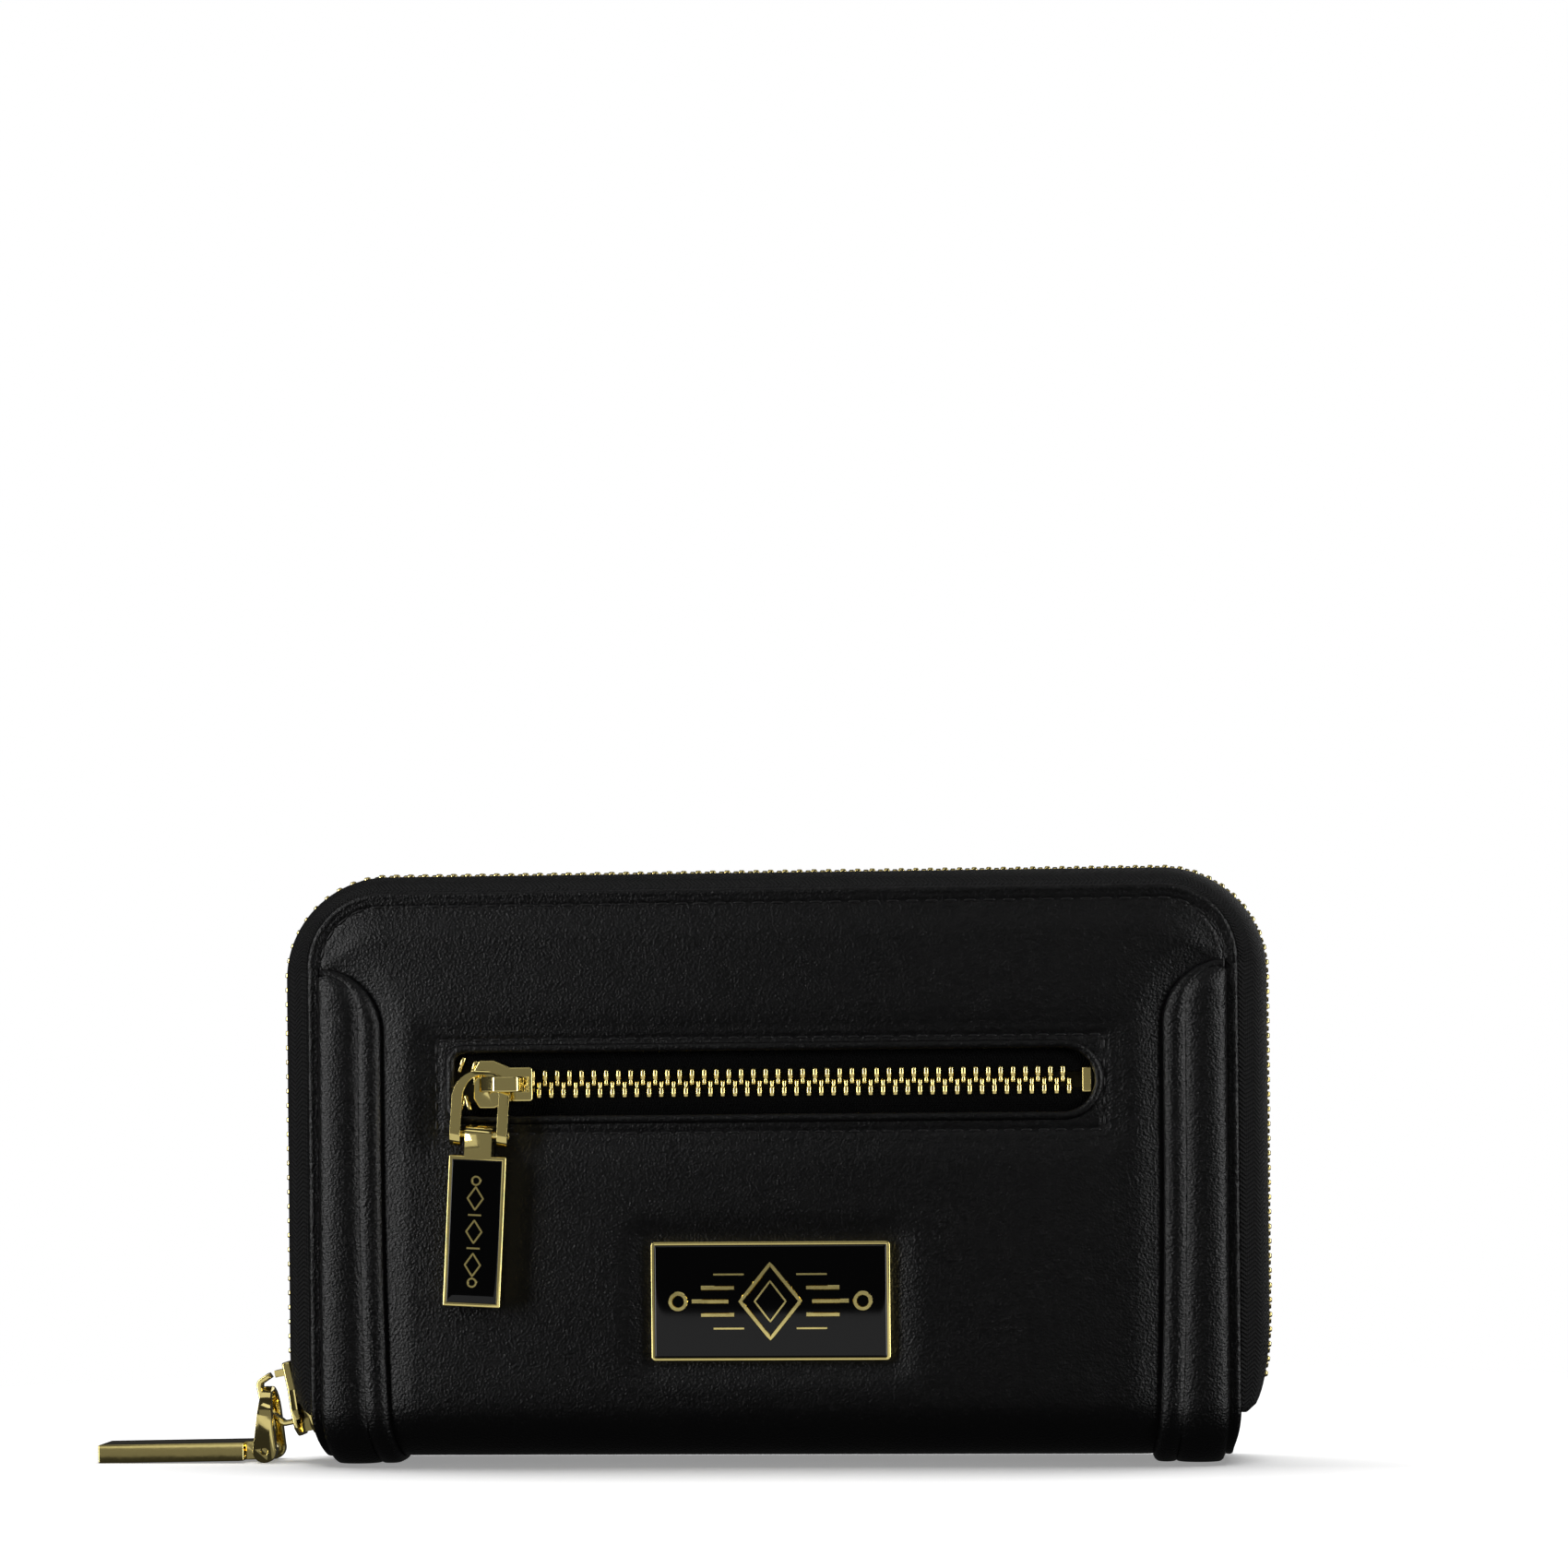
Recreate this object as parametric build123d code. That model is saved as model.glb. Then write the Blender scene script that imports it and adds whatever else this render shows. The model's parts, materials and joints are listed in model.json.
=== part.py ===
from build123d import *
import math
import os

# Zip around wallet, closed and standing on its spine.  Millimetres, +Z up, -Y to the front.
# The origin is the middle of the plane that the wallet stands on.

# Leather panels
panel_width = 180.0
panel_height = 110.0
panel_corner = 14.5
fold_radius = 8.5

# Layers of one cover, from the outside in
leather_thick = 1.2
foam_thick = 1.0
board_thick = 0.8
bag_thick = 1.3
lining_thick = 0.4
cards_thick = 1.5
note_gap = 4.6
divider_thick = 5.4
stuffing_inset = 6.5
lining_inset = 1.0
edge_gap = 0.15

# Padded side strips that run round the spine
strip_thick = 1.3
strip_inset = 2.8
strip_width = 11.2
strip_height = 96.0

# Card pockets
card_slots = 6
card_step = 12.0
card_column_width = 86.0
card_column_gap = 1.0
card_column_height = 92.0

# Coin pocket in the divider
divider_half_width = 77.2
divider_top = 97.0
coin_wall = 0.5
coin_coil_radius = 0.7
coin_tape_thick = 0.4
coin_zip_rise = 2.4
coin_play = 0.1
coin_plate = 0.5
coin_slider_long = 8.0
coin_slider_wide = 4.2

# Gussets
gusset_thick = 0.5
gusset_fold_x = 74.0
gusset_height = 86.0

# Main zip round three sides
main_pitch = 2.85
main_tooth_long = 1.15
main_tooth_thick = 2.2
main_tooth_reach = 3.0
main_tooth_overlap = 0.8
main_bow_side = 6.3
main_bow_top = 4.1
main_tape_thick = 0.7
main_tape_end = 10.5
main_bend_start = 28.0

# Zip pocket in the front
pocket_left = -61.2
pocket_right = 62.6
pocket_middle = 73.9
pocket_window = 12.3
pocket_seam_gap = 3.0
pocket_lip_width = 1.5
pocket_lip_thick = 0.9
pocket_pitch = 2.4
pocket_tooth_long = 0.95
pocket_tooth_thick = 1.8
pocket_tooth_reach = 2.5
pocket_tooth_overlap = 0.7
pocket_tape_thick = 0.5
pocket_slider_x = -51.6

# Badge
badge_width = 46.2
badge_height = 23.0
badge_thick = 1.6
badge_rim = 0.7
badge_middle = 31.8
badge_floor = 0.7
prong_width = 2.0
prong_thick = 0.6
backing_thick = 0.5

# Sliders: length, width and plates
main_slider_long = 14.8
main_slider_wide = 10.4
pocket_slider_long = 11.6
pocket_slider_wide = 9.4
slider_plate = 0.8
slider_play = 0.15
slider_flange = 0.7
slider_slot = 1.1
main_bridge_gap = 5.3
pocket_bridge_gap = 5.1
main_elbow = 0.5
pocket_elbow = 0.8
bridge_thick = 1.1
bridge_wide = 3.0
slider_tilt = 12.0

# Pulls: a link, a pin and an enamelled bar
link_wide = 11.1
link_leg = 2.0
link_bow_high = 0.9
link_reach = 12.0
link_bow_thick = 1.7
link_eye_radius = 2.3
pin_radius = 0.75
pin_play = 0.06
neck_wide = 5.2
neck_drop = 4.1
bar_long = 29.1
bar_wide = 11.2
bar_thick = 3.6
bar_rim = 0.75
enamel_deep = 0.6
enamel_proud = 0.15
pull_lean = 3.0

# Places worked out from the sizes above
cover_thick = leather_thick + foam_thick + board_thick + bag_thick + lining_thick + cards_thick
half_depth = cover_thick + note_gap + divider_thick / 2
half_width = panel_width / 2
spine_low = strip_thick
fold_top = spine_low + fold_radius
panel_low = fold_top + edge_gap
panel_top = spine_low + panel_height
leather_in = half_depth - leather_thick
foam_in = leather_in - foam_thick
board_in = foam_in - board_thick
bag_in = board_in - bag_thick
lining_in = bag_in - lining_thick
cards_in = lining_in - cards_thick
pocket_low = pocket_middle - pocket_window / 2
pocket_high = pocket_middle + pocket_window / 2
pocket_plane = half_depth - pocket_tooth_thick / 2
teeth_x = half_width + main_bow_side - main_tooth_thick / 2
teeth_top = panel_top + main_bow_top - main_tooth_thick / 2
teeth_corner = panel_corner + (main_bow_side + main_bow_top) / 2
tilt = math.radians(slider_tilt)
main_top = main_tooth_thick / 2 + slider_play + slider_plate
pocket_top = pocket_tooth_thick / 2 + slider_play + slider_plate
pivot_back = 0.2 * main_slider_long
pivot_out = main_top + main_bridge_gap - link_bow_thick / 2 - 0.25
pivot_z = link_eye_radius + link_reach
main_slider_z = pivot_z - pivot_back * math.cos(tilt) + pivot_out * math.sin(tilt)
main_slider_x = -teeth_x + main_slider_long / 2 * math.sin(tilt) - 0.4
pivot_x = main_slider_x - pivot_back * math.sin(tilt) - pivot_out * math.cos(tilt)
main_teeth_start = main_slider_z + main_slider_long / 2 * math.cos(tilt) + 0.4
pull_front = half_depth + max(badge_thick + enamel_proud + bar_thick / 2,
                              pocket_lip_thick + link_eye_radius) + 0.35
post_x = pocket_slider_x - 0.3 * pocket_slider_long
pocket_bow_z = pocket_middle + bridge_wide / 2 + link_bow_high / 2 + 0.4
coin_zip_z = divider_top + coin_zip_rise
coin_slider_x = -divider_half_width + 8
nodes = {}


# A sheet drawn in x and z, laid with its faces at two distances in front of the middle plane.
def slab(sketch, near, far):
    return extrude(Plane.XZ.offset(near) * sketch, far - near)


# The same sheet behind the middle plane.
def slab_behind(sketch, near, far):
    return extrude(Plane.XZ.offset(-far) * sketch, far - near)


# Rectangle from low to high whose two upper corners are round.
def upright(wide, low, high, corner):
    sheet = Pos(0, (low + high) / 2) * Rectangle(wide, high - low)
    return fillet(sheet.vertices().group_by(Axis.Y)[-1], corner)


# Rectangle given by its four sides.
def rect(left, right, low, high):
    return Pos((left + right) / 2, (low + high) / 2) * Rectangle(right - left, high - low)


# Window of the zip pocket: square on the left, a half round on the right.
def window(grow):
    half = pocket_window / 2 + grow
    round_x = pocket_right + grow - half
    shape = rect(pocket_left - grow, round_x, pocket_middle - half, pocket_middle + half)
    return shape + Pos(round_x, pocket_middle) * Circle(half)


# Space behind the leather that the pocket's tapes and slider need.
def pocket_room():
    gap = pocket_seam_gap
    return rect(pocket_left - gap, pocket_right + gap, pocket_low - gap, pocket_high + gap)


# Section of the shell across the wallet, up to the top of its two lower folds.
def fold_section(grow):
    sheet = Pos(0, (spine_low - grow + fold_top) / 2) * Rectangle(
        2 * (half_depth + grow), fold_radius + grow)
    return fillet(sheet.vertices().group_by(Axis.Y)[0], fold_radius + grow)


# A layer of the spine between two growths, from left to right.
def spine_layer(outer, inner, left, right):
    ring = fold_section(outer) - fold_section(inner)
    return extrude(Plane.YZ.offset(left) * ring, right - left)


def badge_holes(grow):
    spread = badge_width / 2 - 4
    rise = badge_height / 2 - 4
    prong = Rectangle(prong_width + grow, prong_thick + grow)
    return [Pos(i * spread, badge_middle + j * rise) * prong for i in (-1, 1) for j in (-1, 1)]


def make_covers():
    corner_in = panel_corner - stuffing_inset
    skin = upright(panel_width, panel_low, panel_top, panel_corner)
    stuffing = upright(panel_width - 2 * stuffing_inset, panel_low,
                       panel_top - stuffing_inset, corner_in)
    lining = upright(panel_width - 2 * lining_inset, panel_low,
                     panel_top - lining_inset, panel_corner - lining_inset)
    room = pocket_room()
    slots = badge_holes(0.3)
    backing_room = Pos(0, badge_middle) * Rectangle(badge_width - 2, badge_height - 2)
    nodes["front_leather"] = slab(skin - window(0) - slots, leather_in, half_depth)
    nodes["front_foam"] = slab(stuffing - room - backing_room, foam_in, leather_in)
    nodes["front_board"] = slab(stuffing - room, board_in, foam_in)
    nodes["front_lining"] = slab(lining, lining_in, bag_in)
    nodes["back_leather"] = slab_behind(skin, leather_in, half_depth)
    nodes["back_foam"] = slab_behind(stuffing, foam_in, leather_in)
    nodes["back_board"] = slab_behind(stuffing, board_in, foam_in)
    nodes["back_lining"] = slab_behind(lining, lining_in, bag_in)


def make_spine():
    nodes["spine_leather"] = spine_layer(0, -leather_thick, -half_width, half_width)
    deep = leather_thick + lining_thick
    side = half_width - lining_inset
    nodes["spine_lining"] = spine_layer(-leather_thick, -deep, -side, side)


# One padded strip on a cover, with its upper inner corner rounded over nearly its whole width.
def strip_sheet(side):
    outer = half_width - strip_inset
    inner = outer - strip_width
    sheet = rect(inner, outer, panel_low, strip_height)
    corner = sheet.vertices().group_by(Axis.Y)[-1].sort_by(Axis.X)[0]
    sheet = fillet(corner, strip_width - 0.4)
    return sheet if side > 0 else mirror(sheet, about=Plane.YZ)


def make_strips():
    outer = half_width - strip_inset
    for name, side in (("left", -1), ("right", 1)):
        sheet = strip_sheet(side)
        nodes["front_strip_" + name] = slab(sheet, half_depth, half_depth + strip_thick)
        nodes["back_strip_" + name] = slab_behind(sheet, half_depth, half_depth + strip_thick)
        ends = sorted((side * outer, side * (outer - strip_width)))
        nodes["spine_strip_" + name] = spine_layer(strip_thick, 0, ends[0], ends[1])


# Card pockets: leaves of falling height, so that every slot's mouth shows.
def card_column(side):
    leaf = cards_thick / card_slots
    middle = side * (card_column_gap + card_column_width) / 2
    half = card_column_width / 2
    stack = Part()
    for i in range(card_slots):
        top = panel_low + card_column_height - i * card_step
        sheet = rect(middle - half, middle + half, panel_low + 1, top)
        stack += slab(sheet, lining_in - (i + 1) * leaf, lining_in - i * leaf)
    return stack


def make_cards():
    for name, side in (("left", -1), ("right", 1)):
        column = card_column(side)
        nodes["front_cards_" + name] = column
        nodes["back_cards_" + name] = mirror(column, about=Plane.XZ)


# Coin pocket: a thin bag with an open mouth, closed by a coil zip on two bridging tapes.
def make_divider():
    half = divider_thick / 2
    low = panel_low + 1
    outer = rect(-divider_half_width, divider_half_width, low, divider_top)
    inner = rect(-divider_half_width + 2, divider_half_width - 2, low + 2, divider_top + 1)
    nodes["coin_bag"] = slab(outer, -half, half) - slab(inner, -half + coin_wall, half - coin_wall)
    start = coin_slider_x - coin_slider_long / 2 + 1.0 + coin_play
    long = divider_half_width - 3 - start
    middle = start + long / 2
    coil_out = 2 * coin_coil_radius + coin_play
    tapes = []
    coils = []
    for side in (-1, 1):
        wide = half - coil_out
        tape = Pos(middle, side * (half + coil_out) / 2, coin_zip_z) * Box(long, wide, coin_tape_thick)
        drop = coin_zip_rise - coin_tape_thick / 2
        web = Pos(middle, side * (half - coin_wall / 2), divider_top + drop / 2) * Box(long, coin_wall, drop)
        tapes.append(tape + web)
        rod = Cylinder(coin_coil_radius, long, rotation=(0, 90, 0))
        coils.append(Pos(middle, side * (coin_coil_radius + coin_play / 2), coin_zip_z) * rod)
    nodes["coin_tapes"] = Compound(children=tapes)
    nodes["coin_coils"] = Compound(children=coils)


# Coin slider: two plates over the coils, joined beyond the tapes' ends, with an eye for its tab.
def make_coin_slider():
    room = 2 * (coin_coil_radius + coin_play)
    plate = Box(coin_slider_long, coin_slider_wide, coin_plate)
    body = Pos(0, 0, (room + coin_plate) / 2) * plate
    body += Pos(0, 0, -(room + coin_plate) / 2) * plate
    body += Pos(-coin_slider_long / 2 + 0.5, 0, 0) * Box(1.0, coin_slider_wide, room)
    arch = Pos(0, 0, room / 2 + coin_plate) * slab(
        Pos(0, 1.0) * Rectangle(4.4, 2.0) - Pos(0, 0.6) * Rectangle(2.8, 1.2), -0.5, 0.5)
    place = Pos(coin_slider_x, 0, coin_zip_z)
    nodes["coin_slider"] = place * (body + arch)
    tab = Pos(0, -8.3) * RectangleRounded(5, 17.4, 1.2) - Pos(0, -1.7) * Rectangle(2.2, 2.4)
    eye = place * Pos(0, 0, room / 2 + coin_plate + 0.6)
    nodes["coin_pull"] = eye * Rot(0, 0, -90) * Rot(90, 0, 0) * slab(tab, -0.35, 0.35)


# Gusset: one folded sheet on each side, from the front cover round the divider to the back.
def make_gussets():
    edge = half_width - lining_inset - gusset_thick
    shoulder = cards_in - 0.4
    tip = (gusset_fold_x, shoulder - 1.3)
    flat_x = divider_half_width + gusset_thick / 2 + 0.1
    turn = (flat_x, divider_thick / 2 + 1.3)
    half = [(edge, lining_in - 0.3), (edge, shoulder), tip, turn, (flat_x, 0)]
    other = [(x, -y) for x, y in reversed(half[:-1])]
    sheet = trace(Polyline(*half, *other), gusset_thick)
    right = extrude(Plane.XY.offset(panel_low + 2) * sheet, gusset_height)
    nodes["gusset_right"] = right
    nodes["gusset_left"] = mirror(right, about=Plane.YZ)


# Outline within the zipped sides: upright walls, two upper corners, and drawn in at the bottom.
def zip_outline(side_x, low_x, top, corner, low):
    shape = make_face(Polyline((-low_x, low), (-side_x, main_bend_start), (-side_x, top),
                               (side_x, top), (side_x, main_bend_start), (low_x, low), close=True))
    return fillet(shape.vertices().group_by(Axis.Y)[-1], corner)


# Space within a tape's wall, which widens from the panel's edge to the teeth.
def zip_wall(inset, low):
    edge = half_width - 0.4 - inset
    tape_x = teeth_x + main_tape_thick / 2 - inset
    tape_top = teeth_top + main_tape_thick / 2 - inset
    foot = zip_outline(edge, edge, panel_top - 0.4 - inset, panel_corner - 0.4, low)
    head = zip_outline(tape_x, edge + 0.6, tape_top, teeth_corner, low)
    sections = [Plane.XZ.offset(leather_in - 0.05) * foot,
                Plane.XZ.offset(main_tooth_reach + 0.05) * head]
    return loft(sections, ruled=True)


# Tape of one cover: a wall from the panel's edge to the teeth, and the hem under the leather.
def main_tape():
    wall = zip_wall(0, main_tape_end) - zip_wall(main_tape_thick, main_tape_end - 1)
    wide = 5.0
    far = leather_in - 0.05
    edge = half_width - 0.4
    outer = zip_outline(edge, edge, panel_top - 0.4, panel_corner - 0.4, main_tape_end)
    inner = zip_outline(edge - wide, edge - wide, panel_top - 0.4 - wide, panel_corner - wide,
                        main_tape_end - 1)
    return wall + slab(outer - inner, far - main_tape_thick, far)


# Line of the interlocked teeth, in the middle plane.
def teeth_line():
    end_x = half_width + 1.2 + main_tooth_thick / 2
    points = [(-teeth_x, main_teeth_start), (-teeth_x, teeth_top), (teeth_x, teeth_top),
              (teeth_x, main_bend_start), (end_x, main_tape_end + 4)]
    line = FilletPolyline(*points, radius=[teeth_corner, teeth_corner, 20.0])
    return Plane.XZ * line


# Teeth of one row, each a block with its head past the middle plane.
def teeth_row(line, pitch, first, size, reach, overlap, front):
    long, thick = size
    count = int((line.length - first) / pitch)
    teeth = []
    for i in range(count):
        along = (first + i * pitch) / line.length
        place = Plane(origin=line.position_at(along), x_dir=line.tangent_at(along), z_dir=front)
        block = Box(long, thick, reach + overlap)
        teeth.append(place * Pos(0, 0, (reach - overlap) / 2) * block)
    return Compound(children=teeth)


def make_main_zip():
    line = teeth_line()
    size = (main_tooth_long, main_tooth_thick)
    half = main_pitch / 2
    args = (size, main_tooth_reach, main_tooth_overlap)
    nodes["main_teeth_front"] = teeth_row(line, main_pitch, half, *args, (0, -1, 0))
    nodes["main_teeth_back"] = teeth_row(line, main_pitch, 2 * half, *args, (0, 1, 0))
    tape = main_tape()
    nodes["main_tape_front"] = tape
    nodes["main_tape_back"] = mirror(tape, about=Plane.XZ)


def make_pocket():
    lip = window(pocket_lip_width) - window(0)
    lip_far = half_depth + pocket_lip_thick
    nodes["pocket_lip"] = slab(lip, half_depth, lip_far)
    gap = pocket_seam_gap
    near = pocket_plane - pocket_tape_thick / 2
    far = pocket_plane + pocket_tape_thick / 2
    reach = pocket_tooth_reach + 0.05
    ends = (pocket_left - gap + 0.5, pocket_right + gap - 0.5)
    flat = leather_in - 0.1
    for name, side in (("upper", 1), ("lower", -1)):
        far_z = pocket_middle + side * (pocket_window / 2 + gap - 0.5)
        rim_z = pocket_middle + side * (pocket_window / 2 - 0.2)
        tooth_z = pocket_middle + side * reach
        hem = rect(ends[0], ends[1], *sorted((rim_z, far_z)))
        riser_z = rim_z - side * 0.7
        inside = window(-0.2)
        band = rect(pocket_left, pocket_right, *sorted((tooth_z, rim_z))) & inside
        riser = rect(pocket_left, pocket_right, *sorted((riser_z, rim_z))) & inside
        tape = slab(hem, flat - pocket_tape_thick, flat) + slab(band, near, far)
        nodes["pocket_tape_" + name] = tape + slab(riser, flat - pocket_tape_thick, far)
    line = Plane.XZ.offset(pocket_plane) * Line(
        (pocket_left + 9.5, pocket_middle), (pocket_right - 3.0, pocket_middle))
    size = (pocket_tooth_long, pocket_tooth_thick)
    args = (size, pocket_tooth_reach, pocket_tooth_overlap)
    half = pocket_pitch / 2
    nodes["pocket_teeth_upper"] = teeth_row(line, pocket_pitch, half, *args, (0, 0, 1))
    nodes["pocket_teeth_lower"] = teeth_row(line, pocket_pitch, 2 * half, *args, (0, 0, -1))
    deep = rect(pocket_left - gap, pocket_right + gap, panel_low + 6, pocket_high + gap)
    nodes["pocket_bag"] = slab(deep, bag_in, board_in)


# A slider in its own frame: X from tail to nose, Y across the chain, Z outward.
def slider(long, wide, top, reach, gap, elbow):
    half = long / 2
    tail = reach + slider_play + slider_flange
    channel = top - slider_plate
    side = [(-half, tail), (-0.25 * half, tail), (0.3 * half, wide / 2), (0.8 * half, wide / 2),
            (half, 0.28 * wide)]
    plan = make_face(Polyline(*side, *[(x, -y) for x, y in reversed(side)], close=True))
    plan = fillet(plan.vertices(), 0.6)
    plate = extrude(Plane.XY.offset(channel) * plan, slider_plate)
    plate = fillet(plate.faces().sort_by(Axis.Z)[-1].edges(), 0.35)
    rim = (plan - offset(plan, -slider_flange)) & rect(-half, 0.55 * half, -wide, wide)
    mouth = tail - slider_flange
    rim -= rect(-half - 1, -0.3 * half, -mouth, mouth)
    plate += extrude(Plane.XY.offset(slider_slot / 2) * rim, channel - slider_slot / 2)
    wedge = make_face(Polyline((half - 0.5, 1.2), (0.15 * half, 0), (half - 0.5, -1.2), close=True))
    body = plate + mirror(plate, about=Plane.XY)
    return body + extrude(Plane.XY.offset(-channel) * wedge, 2 * channel) + bridge(
        half, top, gap, elbow)


# Hook over the slider: a post near the nose, a strap, and a curl that stops short of a stub.
def bridge(half, top, gap, elbow):
    high = top + gap + bridge_thick / 2
    line = FilletPolyline((0.6 * half, top - 0.1), (0.6 * half, top + elbow * gap), (0.1 * half, high),
                          (-0.6 * half, high), (-0.74 * half, top + 0.62 * gap), radius=1.0)
    strap = extrude(Plane.XZ.offset(-bridge_wide / 2) * trace(line, bridge_thick), bridge_wide)
    faces = strap.faces().sort_by(Axis.Y)
    strap = fillet(faces[0].edges() + faces[-1].edges(), 0.3)
    stub = Pos(-0.74 * half, 0, top - 0.1 + 0.22 * gap) * Box(1.4, bridge_wide, 0.44 * gap)
    return strap + stub


# The link in its own frame: its pin's axis along X at the origin, its bow above.
def pull_link():
    arch = link_reach + link_bow_high / 2 - link_wide / 2
    half_gap = link_wide / 2 - link_leg
    outer = rect(-link_wide / 2, link_wide / 2, -link_eye_radius, arch)
    outer += Pos(0, arch) * Circle(link_wide / 2)
    inner = rect(-half_gap, half_gap, -link_eye_radius - 1, arch)
    inner += Pos(0, arch) * Ellipse(half_gap, link_wide / 2 - link_bow_high)
    bow = link_bow_thick / 2
    side = make_face(Polyline((-link_eye_radius, 0), (-bow, link_reach), (bow, link_reach),
                              (link_eye_radius, 0), close=True))
    side += Circle(link_eye_radius)
    side += Pos(0, link_reach) * Circle(bow)
    body = slab(outer - inner, -link_eye_radius, link_eye_radius)
    body &= extrude(Plane.YZ.offset(-link_wide) * side, 2 * link_wide)
    return body - Cylinder(pin_radius, 2 * link_wide, rotation=(0, 90, 0))


def pull_pin():
    return Cylinder(pin_radius, link_wide - 0.3, rotation=(0, 90, 0))


# The bar hangs from its neck, with a recess in front for the enamel.
def pull_bar():
    neck = Pos(0, 0, -neck_drop / 2 - 0.5) * Box(neck_wide, bar_thick, neck_drop + 1)
    neck += Cylinder(bar_thick / 2, neck_wide, rotation=(0, 90, 0))
    neck -= Cylinder(pin_radius + pin_play, 2 * neck_wide, rotation=(0, 90, 0))
    body = Pos(0, 0, -neck_drop - bar_long / 2) * Box(bar_wide, bar_thick, bar_long)
    body = fillet(body.edges(), 0.3)
    recess = Pos(0, enamel_deep / 2 - bar_thick / 2, -neck_drop - bar_long / 2) * Box(
        bar_wide - 2 * bar_rim, enamel_deep, bar_long - 2 * bar_rim)
    return body + neck - recess


def bar_enamel():
    deep = enamel_deep + enamel_proud
    slip = 0.02
    block = Pos(0, deep / 2 - bar_thick / 2 - enamel_proud, -neck_drop - bar_long / 2) * Box(
        bar_wide - 2 * bar_rim - slip, deep - slip, bar_long - 2 * bar_rim - slip)
    return fillet(block.faces().sort_by(Axis.Y)[0].edges(), 0.12)


# A link, its pin and a bar, with the link and the bar each put in its own place.
def make_pull(name, link_place, bar_place):
    nodes[name + "_link"] = link_place * pull_link()
    nodes[name + "_pin"] = link_place * pull_pin()
    nodes[name + "_bar"] = bar_place * pull_bar()
    nodes[name + "_bar_enamel"] = bar_place * bar_enamel()


def make_sliders():
    outward = (-math.cos(tilt), 0, -math.sin(tilt))
    to_nose = (math.sin(tilt), 0, -math.cos(tilt))
    seat = Plane(origin=(main_slider_x, 0, main_slider_z), x_dir=to_nose, z_dir=outward)
    nodes["main_slider"] = seat * slider(
        main_slider_long, main_slider_wide, main_top, main_tooth_reach,
        main_bridge_gap, main_elbow)
    seat = Plane(origin=(pocket_slider_x, -pocket_plane, pocket_middle), x_dir=(-1, 0, 0),
                 z_dir=(0, -1, 0))
    nodes["pocket_slider"] = seat * slider(
        pocket_slider_long, pocket_slider_wide, pocket_top, pocket_tooth_reach,
        pocket_bridge_gap, pocket_elbow)


def make_pulls():
    hang = Pos(post_x, -pull_front, pocket_bow_z) * Rot(0, pull_lean, 0) * Pos(0, 0, -link_reach)
    make_pull("pocket", hang, hang)
    stand = Plane(origin=(pivot_x, 0, link_eye_radius), x_dir=(0, 1, 0), z_dir=(0, 0, 1))
    drop = link_eye_radius - bar_thick / 2
    sink = math.degrees(math.asin(drop / (neck_drop + bar_long)))
    lie = Plane(origin=(pivot_x, 0, link_eye_radius), x_dir=(0, 1, 0), z_dir=(1, 0, 0))
    make_pull("main", stand.location, lie.location * Rot(-sink, 0, 0))


# Metal stops crimped over the chains' right-hand ends.
def make_stops():
    line = teeth_line()
    end = Plane(origin=line @ 1, x_dir=line % 1, z_dir=(0, -1, 0))
    block = Box(3.0, main_tooth_thick + 0.4, 2 * main_tooth_reach)
    nodes["main_end_stop"] = end * Pos(2.2, 0, 0) * fillet(block.edges(), 0.3)
    block = Box(1.8, pocket_tooth_thick, 2 * pocket_tooth_reach - 0.2)
    place = Pos(pocket_right - 1.6, -pocket_plane, pocket_middle)
    nodes["pocket_end_stop"] = place * fillet(block.edges(), 0.25)


def make_badge():
    sheet = Pos(0, badge_middle) * RectangleRounded(badge_width, badge_height, 0.8)
    inside = Pos(0, badge_middle) * RectangleRounded(
        badge_width - 2 * badge_rim, badge_height - 2 * badge_rim, 0.4)
    front = half_depth + badge_thick
    plate = slab(sheet, half_depth, front)
    plate = fillet(plate.faces().sort_by(Axis.Y)[0].edges(), 0.25)
    plate -= slab(inside, half_depth + badge_floor, front)
    prong_end = leather_in - backing_thick - 0.3
    for prong in badge_holes(0):
        plate += slab(prong, prong_end, half_depth)
    nodes["badge_plate"] = plate
    filling = slab(offset(inside, -0.02), half_depth + badge_floor, front + enamel_proud)
    nodes["badge_enamel"] = fillet(filling.faces().sort_by(Axis.Y)[0].edges(), 0.12)
    backing = Pos(0, badge_middle) * Rectangle(badge_width - 4, badge_height - 4) - badge_holes(0.3)
    nodes["badge_backing"] = slab(backing, leather_in - backing_thick, leather_in)


def export_all():
    os.makedirs("parts", exist_ok=True)
    for name, solid in nodes.items():
        solid.label = name
        export_step(solid, "parts/" + name + ".step")


make_covers()
make_spine()
make_strips()
make_cards()
make_divider()
make_main_zip()
make_pocket()
make_gussets()
make_coin_slider()
make_sliders()
make_pulls()
make_stops()
make_badge()
export_all()
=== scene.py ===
# Zip around wallet: leather, tapes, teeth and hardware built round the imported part.
import json
import math

import bmesh
import bpy
import numpy as np
from mathutils import Matrix, Vector

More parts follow.
